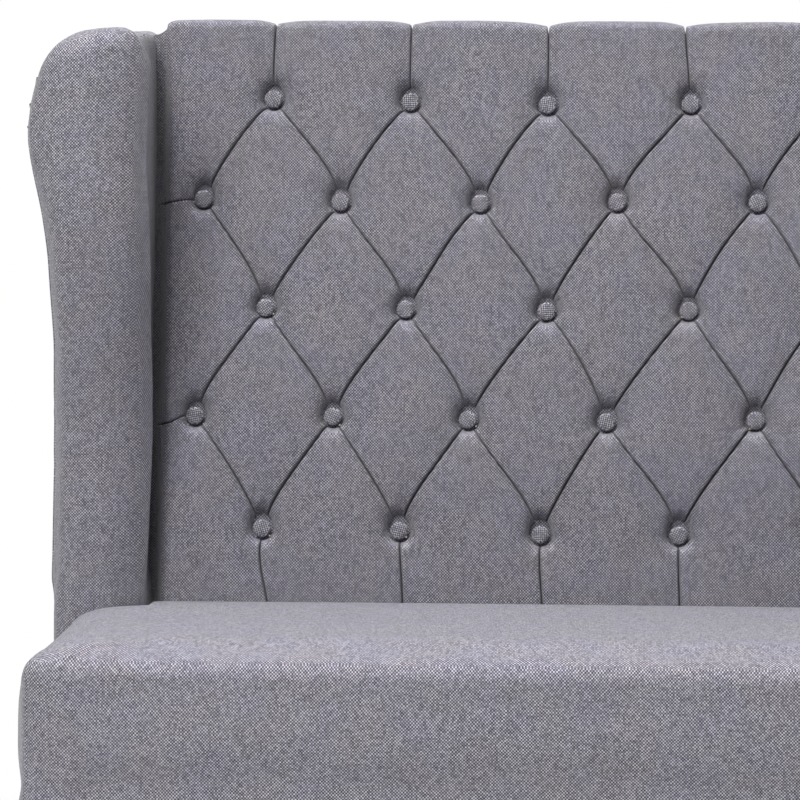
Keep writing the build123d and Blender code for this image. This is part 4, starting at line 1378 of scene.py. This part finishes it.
def makeDustCover():
    # thin black cloth under the frame, cut out round the legs and sagging a little between rails
    low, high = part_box("dust_cover")
    cuts = []
    for hand in hands.values():
        for name, width in (("front_leg_", leg["block"]), ("back_leg_", leg["backWidth"])):
            top = worldPoints(name + hand)
            crest = max(c.z for c in top)
            head = [c for c in top if c.z > crest - 0.002]
            x = (min(c.x for c in head) + max(c.x for c in head)) / 2
            y = (min(c.y for c in head) + max(c.y for c in head)) / 2
            reach = width / 2 + under["room"]
            cuts.append((x - reach, x + reach, y - reach, y + reach))

    def linesOf(start, end, breaks):
        lines = list(np.linspace(start, end, int((end - start) / under["step"]) + 1))
        kept = [line for line in lines
                if line in (start, end) or all(abs(line - b) > under["closest"] for b in breaks)]
        return np.array(sorted(kept + [b for b in breaks if start < b < end]))

    xs = linesOf(low.x, high.x, [c for cut in cuts for c in cut[:2]])
    ys = linesOf(low.y, high.y, sorted(set(round(c, 6) for cut in cuts for c in cut[2:])))
    points = []
    for y in ys:
        for x in xs:
            u = (2 * x - low.x - high.x) / (high.x - low.x)
            v = (2 * y - low.y - high.y) / (high.y - low.y)
            drop = under["sag"] * max(0, 1 - u**4) * max(0, 1 - v * v)
            drop = drop * (0.8 + 0.2 * math.sin(9 * x + 5 * y))
            points.append((x, y, low.z + under["lift"] - drop))
    faces = []
    for face in gridFaces(len(ys), len(xs)):
        x = sum(points[k][0] for k in face) / 4
        y = sum(points[k][1] for k in face) / 4
        if not any(a < x < b and c < y < d for a, b, c, d in cuts):
            faces.append(face)
    piece = meshPiece("dustCoverCloth", points, faces, "dust_cover_cloth")
    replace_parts(piece, "dust_cover")


makeDustCover()
print("outside back and dust cover made")


stage = dict(floor=(0.86, 0.86, 0.86), size=30.0, shadowReach=1.0, whiteFrom=1.7)


def seenBackdrop(tree):
    # one for what the camera sees by itself or in a mirror, none for the light on the settee
    rays = addNode(tree, "LightPath").outputs
    mirrored = mathNode(tree, "MAXIMUM", rays["Is Glossy Ray"], rays["Is Transmission Ray"])
    return mathNode(tree, "MAXIMUM", rays["Is Camera Ray"], mirrored)


def makeFloor():
    # pale floor that keeps the shadow near the settee and is white further off
    material, tree, place = newMaterial("paleFloor")
    speck = noiseOf(tree, place, 240.0, 3.0)
    colour = rampOf(tree, speck, ((0.3, tuple(0.97 * c for c in stage["floor"])), (0.7, stage["floor"])))
    plain = addNode(tree, "BsdfDiffuse", {0: colour})
    white = addNode(tree, "Emission", {0: (1, 1, 1, 1), 1: 1.0})
    distance = addNode(tree, "VectorMath", {0: scaled(tree, place, (0.8, 1.0, 1.0))}, operation="LENGTH")
    inputs = {"Value": distance.outputs["Value"], "From Min": stage["shadowReach"],
              "From Max": stage["whiteFrom"]}
    fading = addNode(tree, "MapRange", inputs, interpolation_type="SMOOTHSTEP").outputs["Result"]
    share = mathNode(tree, "MULTIPLY", fading, seenBackdrop(tree))
    mixed = addNode(tree, "MixShader", {0: share, 1: plain.outputs[0], 2: white.outputs[0]})
    addNode(tree, "OutputMaterial", {0: mixed.outputs[0]})
    reach = stage["size"]
    corners = [(-reach, -reach, 0), (reach, -reach, 0), (reach, reach, 0), (-reach, reach, 0)]
    mesh = bpy.data.meshes.new("floor")
    mesh.from_pydata(corners, [], [(0, 1, 2, 3)])
    mesh.materials.append(material)
    addObject("floor", mesh)


def makeWorld():
    # a dim white sky lights the settee and the camera sees plain white
    world = bpy.data.worlds.new("studio")
    bpy.context.scene.world = world
    world.use_nodes = True
    tree = world.node_tree
    tree.nodes.clear()
    light = addNode(tree, "Background", {0: (1, 1, 1, 1), 1: studio["world"]})
    plain = addNode(tree, "Background", {0: (1, 1, 1, 1), 1: 1.0})
    mixed = addNode(tree, "MixShader", {0: seenBackdrop(tree), 1: light.outputs[0], 2: plain.outputs[0]})
    addNode(tree, "OutputWorld", {0: mixed.outputs[0]})


studio = dict(world=0.38, target=(0.0, 0.0, 0.65), lamps=(
    dict(name="frontLamp", place=(-0.9, -4.0, 3.3), size=2.2, power=114.0),
    dict(name="highLamp", place=(-0.9, -2.1, 2.6), size=0.7, power=30.0),
    dict(name="rearLamp", place=(0.5, 3.8, 2.2), size=2.6, power=60.0),
))


def makeLamps():
    target = Vector(studio["target"])
    for lamp in studio["lamps"]:
        light = bpy.data.lights.new(lamp["name"], "AREA")
        light.shape = "SQUARE"
        light.size = lamp["size"]
        light.energy = lamp["power"]
        piece = addObject(lamp["name"], light)
        piece.location = lamp["place"]
        piece.rotation_euler = (target - piece.location).to_track_quat("-Z", "Y").to_euler()


view = dict(place=(0.0, -4.364, 0.970), lens=187.0, sensor=36.0, yaw=2.938, pitch=3.404, roll=0.34)


def makeCamera():
    camera = bpy.data.cameras.new("photoView")
    camera.lens = view["lens"]
    camera.sensor_width = view["sensor"]
    camera.clip_end = 100.0
    eye = addObject("photoView", camera)
    turn = (Matrix.Rotation(math.radians(view["yaw"]), 3, "Z")
            @ Matrix.Rotation(math.radians(90 - view["pitch"]), 3, "X")
            @ Matrix.Rotation(math.radians(view["roll"]), 3, "Z"))
    eye.location = view["place"]
    eye.rotation_euler = turn.to_euler()
    bpy.context.scene.camera = eye


makeFloor()
makeWorld()
makeLamps()
makeCamera()
bpy.context.scene.view_settings.view_transform = "Standard"
print("stage made")
